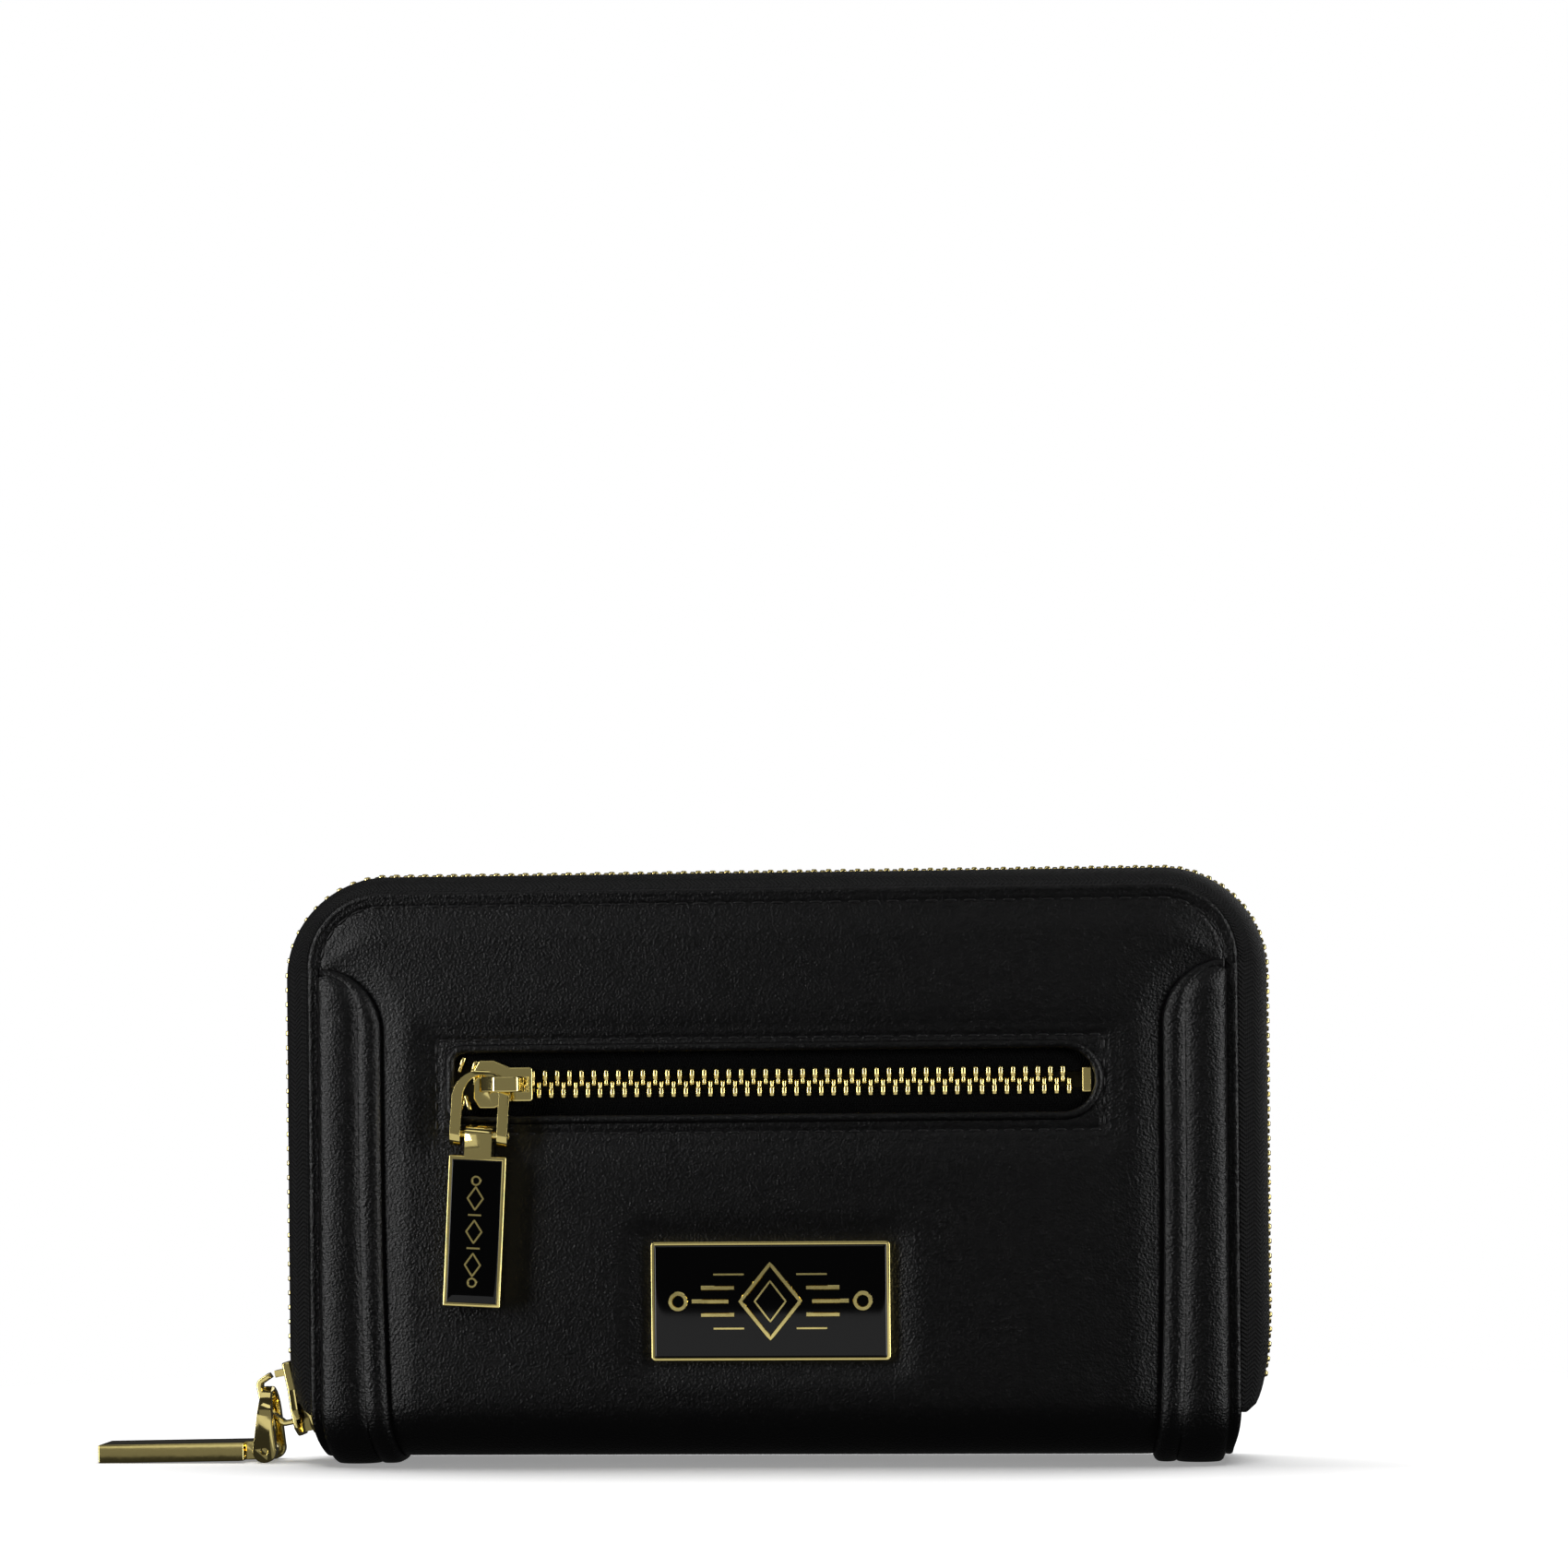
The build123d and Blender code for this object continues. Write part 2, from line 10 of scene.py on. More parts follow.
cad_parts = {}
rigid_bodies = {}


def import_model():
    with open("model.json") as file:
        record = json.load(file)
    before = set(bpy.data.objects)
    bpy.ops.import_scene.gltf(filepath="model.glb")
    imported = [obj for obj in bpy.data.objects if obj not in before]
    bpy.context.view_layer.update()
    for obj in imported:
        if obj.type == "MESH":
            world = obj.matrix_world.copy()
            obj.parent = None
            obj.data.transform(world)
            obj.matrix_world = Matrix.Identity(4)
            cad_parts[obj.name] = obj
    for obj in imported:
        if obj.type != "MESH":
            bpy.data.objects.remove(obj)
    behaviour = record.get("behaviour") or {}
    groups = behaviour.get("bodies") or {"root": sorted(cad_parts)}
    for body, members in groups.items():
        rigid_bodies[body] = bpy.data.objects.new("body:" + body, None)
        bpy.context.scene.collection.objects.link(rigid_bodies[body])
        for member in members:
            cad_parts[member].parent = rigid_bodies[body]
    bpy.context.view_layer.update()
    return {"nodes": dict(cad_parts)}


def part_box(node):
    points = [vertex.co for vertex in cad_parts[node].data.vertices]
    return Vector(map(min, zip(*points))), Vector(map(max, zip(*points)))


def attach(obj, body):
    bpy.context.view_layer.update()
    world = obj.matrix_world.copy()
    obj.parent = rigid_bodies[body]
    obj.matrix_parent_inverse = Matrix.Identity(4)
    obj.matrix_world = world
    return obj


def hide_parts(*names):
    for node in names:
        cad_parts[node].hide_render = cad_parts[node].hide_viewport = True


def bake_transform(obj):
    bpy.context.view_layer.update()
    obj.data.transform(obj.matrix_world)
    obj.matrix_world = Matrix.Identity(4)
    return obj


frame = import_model()
mm = 0.001


# Lowest and highest corner of a node of the part, in millimetres.
def boxOf(name):
    low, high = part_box(name)
    return np.array(low) / mm, np.array(high) / mm


panelHalf, _, panelTop = boxOf("front_leather")[1]
panelFace = -boxOf("front_leather")[0][1]
frontward = np.array([0, -1.0, 0])
spineLow = boxOf("spine_leather")[0][2]
print("frame loaded")


# Smooth step from 0 to 1.
def ease(t):
    t = np.clip(t, 0, 1)
    return t * t * (3 - 2 * t)


# Bell of height 1 at 0.
def bell(t):
    return np.exp(-t * t)


# Square root, and nothing below zero.
def root(v):
    return np.sqrt(np.maximum(v, 0))


# Rows down a rounded corner: they start at its top and stop short of a quarter turn.
def cornerRows(radius, step):
    return radius * (1 - np.cos(np.radians(np.arange(0, 90, step))))


# One mesh object from corners in millimetres and faces, with UV per corner when given.
def newPiece(name, corners, faces, finish, uv=None, smooth=True):
    mesh = bpy.data.meshes.new(name)
    mesh.from_pydata((np.asarray(corners).reshape(-1, 3) * mm).tolist(), [], faces.tolist())
    mesh.polygons.foreach_set("use_smooth", np.full(len(mesh.polygons), smooth))
    if uv is not None:
        index = np.empty(len(mesh.loops), dtype=int)
        mesh.loops.foreach_get("vertex_index", index)
        layer = mesh.uv_layers.new(name="UVMap")
        layer.data.foreach_set("uv", np.asarray(uv).reshape(-1, 2)[index].ravel())
    mesh.materials.append(finish)
    mesh.update()
    piece = bpy.data.objects.new(name, mesh)
    bpy.context.scene.collection.objects.link(piece)
    return piece


# Quads of a grid of rows by columns, closed round either way when asked.
def gridFaces(rows, columns, closeRows=False, closeColumns=False, flip=False):
    r = np.arange(rows if closeRows else rows - 1)
    c = np.arange(columns if closeColumns else columns - 1)
    r, c = np.meshgrid(r, c, indexing="ij")
    nextR = (r + 1) % rows
    nextC = (c + 1) % columns
    quad = [r * columns + c, r * columns + nextC, nextR * columns + nextC, nextR * columns + c]
    quad = np.stack(quad, -1).reshape(-1, 4)
    return quad[:, ::-1] if flip else quad


def gridPiece(name, corners, finish, uv=None, closeRows=False, closeColumns=False, flip=False, keep=None):
    faces = gridFaces(*corners.shape[:2], closeRows, closeColumns, flip)
    if keep is not None:
        middles = corners.reshape(-1, 3)[faces].mean(1)
        faces = faces[keep(middles)]
    return newPiece(name, corners, faces, finish, uv)


def thicken(piece, thick, offset=-1.0):
    solid = piece.modifiers.new("thickness", "SOLIDIFY")
    solid.thickness = thick * mm
    solid.offset = offset
    solid.use_even_offset = False


# Copies of one small shape: corner times the place's three axes, plus its origin.
def stampPiece(name, shape, origins, axes, finish):
    corners, faces = shape
    turned = np.einsum("vk,nkj->nvj", corners, axes) + origins[:, None]
    shifts = (np.arange(len(origins)) * len(corners))[:, None, None]
    return newPiece(name, turned, (faces[None] + shifts).reshape(-1, faces.shape[1]), finish)


# Tube of a closed profile (across, up) carried along a path with given across and up directions.
def sweep(path, across, up, profile):
    return path[:, None] + profile[None, :, :1] * across[:, None] + profile[None, :, 1:] * up[:, None]


def unit(v):
    return v / np.maximum(np.linalg.norm(v, axis=-1, keepdims=True), 1e-9)


# Corners whose coordinates are these arrays or numbers, spread to one shape.
def joined(*parts):
    return np.stack(np.broadcast_arrays(*parts), -1)


# A finished piece rides its body and stands for nodes of the part; its slot is not used.
def settle(piece, body, slot, *nodes):
    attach(piece, body)
    if nodes:
        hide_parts(*nodes)


# What crosses the fold has its place baked into its mesh; nothing bends it from the back cover to the front
# one.
def bendAtFold(piece):
    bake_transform(piece)


# Points at equal steps along a polyline.
def evenly(points, count):
    gaps = np.linalg.norm(np.diff(points, axis=0), axis=1)
    along = np.concatenate([[0], np.cumsum(gaps)])
    steps = np.linspace(0, along[-1], count)
    return np.stack([np.interp(steps, along, points[:, k]) for k in range(points.shape[1])], -1)


def runLength(points):
    return np.linalg.norm(np.diff(points, axis=0), axis=1).sum()


# A shader value that takes part in ordinary sums.
class Socket:
    def __init__(self, finish, out):
        self.finish = finish
        self.out = out

    def math(self, operation, other=None):
        return self.finish.node("ShaderNodeMath", dict(operation=operation), {0: self, 1: other})["Value"]

    def __add__(self, other):
        return self.math("ADD", other)

    def __sub__(self, other):
        return self.math("SUBTRACT", other)

    def __mul__(self, other):
        return self.math("MULTIPLY", other)

    def __truediv__(self, other):
        return self.math("DIVIDE", other)

    def __rsub__(self, other):
        return self.math("MULTIPLY", -1.0).math("ADD", other)

    __radd__ = __add__
    __rmul__ = __mul__


class Finish:
    # A node material: one Principled shader and what feeds it.
    def __init__(self, name, **constants):
        self.material = bpy.data.materials.new(name)
        self.material.use_nodes = True
        self.tree = self.material.node_tree
        self.tree.nodes.clear()
        self.shader = self.tree.nodes.new("ShaderNodeBsdfPrincipled")
        out = self.tree.nodes.new("ShaderNodeOutputMaterial")
        self.tree.links.new(self.shader.outputs[0], out.inputs[0])
        for key, value in constants.items():
            self.feed(key, value)

    def feed(self, key, value):
        socket = self.shader.inputs[key]
        if isinstance(value, Socket):
            self.tree.links.new(value.out, socket)
        else:
            socket.default_value = value

    # Any node: its type, its settings first, then the values or links of its sockets.
    def node(self, kind, settings=None, inputs=None):
        made = self.tree.nodes.new(kind)
        for key, value in (settings or {}).items():
            setattr(made, key, value)
        for key, value in (inputs or {}).items():
            if isinstance(value, Socket):
                self.tree.links.new(value.out, made.inputs[key])
            elif value is not None:
                made.inputs[key].default_value = value
        return {socket.name: Socket(self, socket) for socket in made.outputs if socket.enabled}

    def place(self):
        return self.node("ShaderNodeTexCoord")["Object"]

    def mapUv(self):
        return self.node("ShaderNodeTexCoord")["UV"]

    def split(self, vector):
        parts = self.node("ShaderNodeSeparateXYZ", None, {0: vector})
        return parts["X"], parts["Y"], parts["Z"]

    def noise(self, vector, scale, detail=2.0, roughness=0.5):
        wants = {"Vector": vector, "Scale": scale, "Detail": detail, "Roughness": roughness}
        return self.node("ShaderNodeTexNoise", None, wants)["Fac"]

    def cells(self, vector, scale):
        wants = {"Vector": vector, "Scale": scale}
        return self.node("ShaderNodeTexVoronoi", dict(feature="F1"), wants)["Distance"]

    def mix(self, share, first, second):
        settings = dict(data_type="RGBA")
        return self.node("ShaderNodeMix", settings, {0: share, 6: first, 7: second})["Result"]

    def bump(self, height, distance, strength=1.0):
        wants = {"Height": height, "Distance": distance, "Strength": strength}
        self.feed("Normal", self.node("ShaderNodeBump", None, wants)["Normal"])


# Soft calf: small pebbles a little over half a millimetre wide, with finer pores and a slow waviness.
def calfFinish(name, look):
    finish = Finish(name, **{"IOR": 1.46, "Specular IOR Level": look["shine"]})
    at = finish.place()
    pebbles = finish.cells(at, look["pebbleScale"])
    pores = finish.noise(at, look["poreScale"], 3.0, 0.6)
    slow = finish.noise(at, look["waveScale"], 2.0)
    height = pebbles * look["pebbleHigh"] + pores * look["poreHigh"] + slow * look["waveHigh"]
    finish.bump(height, look["bumpHigh"], 1.0)
    finish.feed("Roughness", pores * look["roughSpread"] + (look["rough"] - look["roughSpread"] / 2))
    finish.feed("Base Color", finish.mix(pebbles, look["colour"], look["poreColour"]))
    return finish.material


outerLook = dict(colour=(0.0032, 0.0032, 0.0034, 1), poreColour=(0.0022, 0.0022, 0.0024, 1), rough=0.31,
                 roughSpread=0.12, shine=0.42, pebbleScale=1900.0, poreScale=3400.0, waveScale=420.0,
                 pebbleHigh=0.7, poreHigh=0.8, waveHigh=0.25, bumpHigh=0.00013)
innerLook = dict(outerLook, colour=(0.010, 0.010, 0.0103, 1), rough=0.5, shine=0.4)


# Woven tape: slanting ribs that turn at the middle of each herringbone row.
def tapeFinish(name, look):
    finish = Finish(name, **{"Specular IOR Level": look["shine"], "Roughness": look["rough"]})
    along, across, _ = finish.split(finish.mapUv())
    row = (across / look["row"]).math("PINGPONG", 1.0)
    slant = along / look["rib"] + row * look["slant"]
    rib = (slant * (2 * math.pi)).math("SINE")
    thread = (across * (2 * math.pi / look["thread"])).math("SINE")
    fuzz = finish.noise(finish.place(), 4200.0, 2.0)
    height = rib * 0.5 + thread * 0.18 + fuzz * 0.35
    finish.bump(height, look["bumpHigh"], 1.0)
    finish.feed("Base Color", finish.mix(rib * 0.5 + 0.5, look["dark"], look["light"]))
    return finish.material


tapeLook = dict(rib=0.85, slant=1.5, row=1.9, thread=0.4, rough=0.66, shine=0.28, bumpHigh=0.0002,
                dark=(0.0040, 0.0040, 0.0042, 1), light=(0.0125, 0.0125, 0.0128, 1))
# The pocket's copy of the tape: a finer, smoother weave, and darker all over as painted shade for its place
# in the window's recess.
paintedShadePocketTapeLook = dict(tapeLook, rib=0.55, rough=0.85, shine=0.08,
                      dark=(0.0010, 0.0010, 0.0010, 1), light=(0.0026, 0.0026, 0.0026, 1))


# Twill lining: fine diagonal ribs on the piece's own UV, in millimetres.
liningLook = dict(rib=0.62, weave=0.31, rough=0.62, sheen=0.25)


def liningFinish(name, colour):
    finish = Finish(name, **{"Roughness": liningLook["rough"], "Sheen Weight": liningLook["sheen"]})
    along, across, _ = finish.split(finish.mapUv())
    rib = ((along + across) * (2 * math.pi / liningLook["rib"])).math("SINE")
    weave = ((along - across) * (2 * math.pi / liningLook["weave"])).math("SINE")
    finish.bump(rib * 0.5 + weave * 0.2, 0.00007, 1.0)
    darker = tuple(0.55 * value for value in colour) + (1,)
    finish.feed("Base Color", finish.mix(rib * 0.5 + 0.5, darker, colour + (1,)))
    return finish.material


# Polished plating with faint tool marks.
def metalFinish(name, colour, rough):
    finish = Finish(name, **{"Metallic": 1.0, "Base Color": colour + (1,)})
    wear = finish.noise(finish.place(), 900.0, 3.0)
    finish.feed("Roughness", wear * 0.06 + rough)
    finish.bump(finish.noise(finish.place(), 260.0, 2.0), 0.00003, 0.35)
    return finish.material


# Poured enamel: deep, smooth and glassy, with the faintest difference of gloss.
def enamelFinish(name, colour):
    finish = Finish(name, **{"IOR": 1.45, "Base Color": colour + (1,)})
    finish.feed("Roughness", finish.noise(finish.place(), 120.0, 2.0) * 0.02 + 0.02)
    return finish.material


def plainFinish(name, colour, rough, **more):
    finish = Finish(name, **{"Roughness": rough, **more})
    speck = finish.noise(finish.place(), 700.0, 3.0)
    darker = tuple(0.7 * value for value in colour) + (1,)
    finish.feed("Base Color", finish.mix(speck, colour + (1,), darker))
    finish.bump(speck, 0.00006, 0.5)
    return finish.material


finishes = dict(
    outer=calfFinish("blackCalf", outerLook),
    inner=calfFinish("innerCalf", innerLook),
    lining=liningFinish("twillLining", (0.030, 0.029, 0.028)),
    tape=tapeFinish("herringboneTape", tapeLook),
    pocketTape=tapeFinish("fineTapePaintedShade", paintedShadePocketTapeLook),
    teeth=metalFinish("paleGoldTeeth", (0.86, 0.70, 0.27), 0.10),
    gold=metalFinish("paleGold", (0.90, 0.75, 0.29), 0.05),
    enamel=enamelFinish("blackEnamel", (0.0012, 0.0012, 0.0013)),
    thread=plainFinish("bondedThread", (0.010, 0.010, 0.0105), 0.42),
    coil=plainFinish("nylonCoil", (0.015, 0.015, 0.015), 0.35),
    foam=plainFinish("paddingFoam", (0.20, 0.20, 0.21), 0.95),
    board=plainFinish("stiffenerBoard", (0.32, 0.27, 0.20), 0.9),
    steel=metalFinish("backingSteel", (0.55, 0.55, 0.56), 0.32),
)
slotFinish = dict(outer_leather="outer", inner_leather="inner", lining_cloth="lining", zip_tape="tape",
                  zip_metal="teeth", gold_metal="gold", enamel="enamel", coil="coil", foam="foam",
                  board="board", backing_steel="steel")


# Every node of the part takes the finish of its own slot.
def dressNodes():
    for node in frame["nodes"].values():
        for place in node.material_slots:
            if place.material:
                key = place.material.name.split(".")[0]
                if key in slotFinish:
                    place.material = finishes[slotFinish[key]]


dressNodes()
print("finishes made")

skin = dict(cornerRound=14.5, foldRound=11.0, thick=1.1, stitchInset=2.8, padRise=0.95, padRun=6.0,
            edgeRound=0.55, edgeRidge=0.12, stitchDip=0.26, footNarrow=1.4)
strip = dict(outer=87.2, wide=11.2, wideLow=12.6, shoulder=84.0, rise=12.0, piping=3.9, taper=0.8,
             pipingHigh=1.15, humpHigh=1.55, valleyHigh=0.35, sink=0.14, shell=0.7)
pocket = dict(left=-61.2, right=62.6, middle=73.9, window=12.3, smallRound=2.0, seamLeft=-64.7,
              seamRight=64.3, seamLow=64.3, seamHigh=82.5, lipWide=1.5, lipHigh=0.95, lipDeep=1.2)
badgeLow, badgeHigh = boxOf("badge_plate")
badge = dict(middle=(badgeLow[2] + badgeHigh[2]) / 2, halfWide=badgeHigh[0],
             halfHigh=(badgeHigh[2] - badgeLow[2]) / 2)
straight = panelTop - spineLow - skin["foldRound"]
downMiddle = straight + skin["foldRound"] * math.pi / 2 + panelFace - skin["foldRound"]


# The cover's face, a quarter turn under it, then flat to the middle of the spine:
# a point is "down" along the leather from the top edge and "out" from its face.
def wrapSkin(x, down, out, side):
    r = skin["foldRound"]
    turn = np.clip((down - straight) / r, 0, math.pi / 2)
    rest = np.maximum(down - straight - r * math.pi / 2, 0)
    y = panelFace - r + (r + out) * np.cos(turn) - rest
    z = panelTop - np.minimum(down, straight) - (r + out) * np.sin(turn)
    return joined(x, side * y, np.maximum(z, 0.02))


# Distance in from the cover's outline, which is open at the bottom.
def edgeDistance(x, z):
    r = skin["cornerRound"]
    overX = np.abs(x) - (panelHalf - r)
    overZ = z - (panelTop - r)
    corner = r - np.hypot(np.maximum(overX, 0), np.maximum(overZ, 0))
    return np.where((overX > 0) & (overZ > 0), corner, np.minimum(panelHalf - np.abs(x), panelTop - z))


# The strip widens a little over its lower 60 mm.
def stripWide(z):
    return strip["wide"] + (strip["wideLow"] - strip["wide"]) * np.clip((60 - z) / 60, 0, 1) ** 2


# How far the leather draws in at each side as it turns under.
def narrowing(down):
    return skin["footNarrow"] * ease((down - straight + 2) / 16) ** 2


# Distance past the strip's inner boundary: a straight side with a quarter ellipse at the top.
def stripDistance(x, z):
    across = strip["outer"] - np.abs(x)
    wide = stripWide(z)
    above = np.maximum(z - strip["shoulder"], 0) / strip["rise"]
    return (np.hypot(across / wide, above) - 1) * wide


# Distance from a rectangle, less than zero inside it.
def boxDistance(x, z, left, right, low, high):
    dx = np.maximum(left - x, x - right)
    dz = np.maximum(low - z, z - high)
    return np.hypot(np.maximum(dx, 0), np.maximum(dz, 0)) + np.minimum(np.maximum(dx, dz), 0)


# Distance from the pocket's window: a bar with a small round at its left end and a full one at its right.
def windowDistance(x, z):
    half = pocket["window"] / 2
    dz = np.abs(z - pocket["middle"])
    small = pocket["smallRound"]
    endX = pocket["right"] - half
    rightEnd = np.hypot(np.maximum(x - endX, 0), dz) - half
    dx = pocket["left"] + small - x
    leftEnd = np.hypot(np.maximum(dx, 0), np.maximum(dz - half + small, 0)) - small
    leftEnd += np.minimum(np.maximum(dx, dz - half + small), 0)
    return np.where(x > 0, rightEnd, leftEnd)


# Height of the leather over the flat cover: edge roll, seam dips and the padded field.
def skinHeight(x, z, side):
    d = edgeDistance(x, z)
    room = np.minimum(d - skin["stitchInset"] - 0.2, stripDistance(x, z) - 0.1)
    pad = ease(room / skin["padRun"]) * 0.75 + ease(room / (2.4 * skin["padRun"])) * 0.25
    pad = pad * (1 - ease((panelTop - straight + 4 - z) / 14))
    dips = bell((d - skin["stitchInset"]) / 0.42) * skin["stitchDip"]
    dips = dips + bell(stripDistance(x, z) / 0.6) * 0.3 * (z < strip["shoulder"] + strip["rise"])
    if side < 0:
        seam = boxDistance(x, z, *(pocket[key] for key in ("seamLeft", "seamRight", "seamLow", "seamHigh")))
        pad = pad * (0.38 + 0.62 * ease((seam + 1) / 8))
        dips = dips + bell(seam / 0.5) * 0.3 + bell((seam - 2.3) / 0.5) * 0.07
        tag = boxDistance(x, z, -badge["halfWide"], badge["halfWide"], badge["middle"] - badge["halfHigh"],
                          badge["middle"] + badge["halfHigh"])
        pad = pad * ease((tag + 0.8) / 7)
    slow = 0.035 * np.sin(x / 11.0 + 0.6) * np.sin(z / 9.0 + 1.1) + 0.03 * np.sin(x / 23.0 - z / 17.0)
    roll = skin["edgeRound"]
    fall = roll - root(roll ** 2 - np.maximum(roll - d, 0) ** 2)
    ridge = bell((d - 0.85) / 0.4) * skin["edgeRidge"]
    return pad * (skin["padRise"] + slow) - dips - fall + ridge


# Places one after another, each run from low to high by its own step.
def spread(stops):
    return np.concatenate([np.arange(low, high, step) for low, high, step in stops])


# Rows and columns lie closest at the edges, at the pocket's ends and at the badge.
def skinGrid(side):
    inward = spread([(0, 0.6, 0.15), (0.6, 4.2, 0.3), (4.2, 15, 0.7), (15, 20, 1.3), (20, 30.5, 0.8),
                     (30.5, panelHalf, 1.7)])
    inward = np.unique(np.append(inward, panelHalf))
    u = np.concatenate([inward - panelHalf, (panelHalf - inward[:-1])[::-1]]) / panelHalf
    r = skin["cornerRound"]
    downs = [cornerRows(r, 2.5), spread([(r, 26, 1.2), (26, 52, 0.55), (52, straight - 8, 1.3)])]
    downs = np.concatenate(downs + [np.linspace(straight - 8, downMiddle, 34)])
    up = root(r ** 2 - np.maximum(r - downs, 0) ** 2)
    half = panelHalf - r + np.where(downs < r, up, r)
    narrow = narrowing(downs)
    x = u[None] * (half - narrow)[:, None]
    z = panelTop - np.broadcast_to(downs[:, None], x.shape)
    out = skinHeight(x / (1 - narrow / panelHalf)[:, None], z, side)
    return wrapSkin(x, panelTop - z, out, side), joined(x, z)


# Faces of the front leather that stay when the window is cut.
def clearOfWindow(middles):
    return windowDistance(middles[:, 0], middles[:, 2]) > 0.7


def makeSkins():
    corners, flat = skinGrid(-1)
    front = gridPiece("frontSkin", corners, finishes["outer"], uv=flat, flip=True, keep=clearOfWindow)
    bendAtFold(front)
    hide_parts("front_leather")
    corners, flat = skinGrid(1)
    back = gridPiece("backSkin", corners, finishes["outer"], uv=flat)
    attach(back, "back_cover")
    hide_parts("back_leather", "spine_leather")
    for piece in (front, back):
        thicken(piece, skin["thick"])


makeSkins()
print("skins made")


# Height over the strip: a narrow piping along the inner boundary and a wide hump outside it.
def stripHeight(x, z):
    inner = -stripDistance(x, z)
    outer = strip["outer"] - np.abs(x)
    climb = np.maximum(z - strip["shoulder"], 0) / strip["rise"]
    turn = np.arctan2(climb, np.maximum(outer / strip["wide"], 0.01)) / (math.pi / 2)
    piping = strip["piping"] * (1 - strip["taper"] * ease(turn * 1.15))
    p = np.clip(inner / piping, 0, 1)
    cordHigh = strip["pipingHigh"] * np.minimum(1, piping / 2.5)
    cord = cordHigh * root(1 - (2 * p - 1) ** 2) ** 0.9
    wide = np.maximum(outer + inner - piping, 0.1)
    q = np.clip((inner - piping) / wide, 0, 1)
    hump = strip["humpHigh"] * np.minimum(1, wide / 5.5) * root(1 - (2 * q - 1) ** 2) ** 0.75
    valley = strip["valleyHigh"] * ease(inner / 1.2) * ease(outer / 1.2)
    return np.maximum(np.maximum(cord, hump), valley) - strip["sink"]


# One strip down a cover and round to the spine, from its quarter ellipse at the top.
def makeStrip(name, x0, side):
    over = strip["shoulder"] + strip["rise"]
    z = np.concatenate([over - cornerRows(strip["rise"], 4.5),
                        np.arange(strip["shoulder"], panelTop - straight, -1.6),
                        np.linspace(panelTop - straight, panelTop - downMiddle, 22)])
    across = np.linspace(0, 1, 49)
    lift = np.clip((z - strip["shoulder"]) / strip["rise"], 0, 1)
    wide = stripWide(z) * np.sqrt(np.maximum(1 - lift ** 2, 0.0004))
    x = x0 * (strip["outer"] - across[None] * wide[:, None])
    z = np.broadcast_to(z[:, None], x.shape)
    corners = wrapSkin(x - x0 * narrowing(panelTop - z) * 0.6, panelTop - z, stripHeight(x, z), side)
    piece = gridPiece(name, corners, finishes["outer"], uv=joined(x, z), flip=x0 * side < 0)
    thicken(piece, strip["shell"])
    return piece


def makeStrips():
    for word, x0 in (("Left", -1), ("Right", 1)):
        front = makeStrip("frontStrip" + word, x0, -1)
        bendAtFold(front)
        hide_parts("front_strip_" + word.lower())
        back = makeStrip("backStrip" + word, x0, 1)
        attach(back, "back_cover")
        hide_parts("back_strip_" + word.lower(), "spine_strip_" + word.lower())


makeStrips()
print("strips made")

stitch = dict(perimeterPitch=3.7, stripPitch=3.6, pocketPitch=3.3, share=0.66, radius=0.24, lift=0.08,
              stop=1.5, off=0.25)


# A capsule along its own X, thickest in the middle and closed at its ends.
def capsule(long, radius, stations=6, sides=6):
    t = np.linspace(-1, 1, stations)
    bulge = np.sqrt(np.maximum(1 - t ** 4, 0.02))
    angle = np.arange(sides) * 2 * math.pi / sides
    ring = joined(np.cos(angle), np.sin(angle)) * radius
    corners = np.concatenate([np.broadcast_to((t * long / 2)[:, None, None], (stations, sides, 1)),
                              ring[None] * bulge[:, None, None]], -1).reshape(-1, 3)
    faces = gridFaces(stations, sides, closeColumns=True, flip=True)
    caps = [[0, 1, 2, 3], [0, 3, 4, 5]]
    last = (stations - 1) * sides
    caps += [[last + 3, last + 2, last + 1, last], [last + 5, last + 4, last + 3, last]]
    return corners, np.concatenate([faces, np.array(caps)])


# Stitches along a line drawn on the flat leather (x, unrolled z), pressed into its seam.
def stitchRun(points, side, pitch):
    count = max(int(runLength(points) / pitch), 2)
    fine = evenly(points, 8 * count + 1)
    mid = fine[4::8]
    ahead = fine[6::8][:len(mid)]
    behind = fine[2::8][:len(mid)]
    spots = []
    for line in (mid, ahead, behind):
        x, z = line.T
        spots.append(wrapSkin(x, panelTop - z, skinHeight(x, z, side) + stitch["lift"], side))
    along = unit(spots[1] - spots[2])
    x, z = mid.T
    up = unit(wrapSkin(x, panelTop - z, skinHeight(x, z, side) + 1.5, side) - spots[0])
    cross = np.cross(up, along)
    return spots[0], np.stack([along, cross, up], 1)


# Lines of stitches on the flat leather: round the cover, along a strip and round the pocket.
def perimeterLine():
    inset = skin["stitchInset"]
    r = skin["cornerRound"] - inset
    x = panelHalf - inset
    top = panelTop - inset
    a = np.radians(np.linspace(0, 90, 25))
    left = joined(-x + r - r * np.cos(a), top - r + r * np.sin(a))
    low = panelTop - downMiddle + stitch["stop"]
    foot = np.array([[-x + 0.8, low], [-x, 8.0]])
    return np.concatenate([foot, left, left[::-1] * [-1, 1], foot[::-1] * [-1, 1]])


def stripLine(x0):
    a = np.radians(np.linspace(0, 88, 22))
    arc = joined(strip["outer"] - (strip["wide"] + stitch["off"]) * np.cos(a),
                 strip["shoulder"] + (strip["rise"] + 0.2) * np.sin(a))
    z = np.arange(panelTop - downMiddle + stitch["stop"], strip["shoulder"], 3.0)
    side = joined(strip["outer"] - stripWide(z) - stitch["off"], z)
    return np.concatenate([side, arc]) * [x0, 1]


def pocketLine():
    left, right, low, high = (pocket[key] for key in ("seamLeft", "seamRight", "seamLow", "seamHigh"))
    return np.array([[left, low], [left, high], [right, high], [right, low], [left, low]])


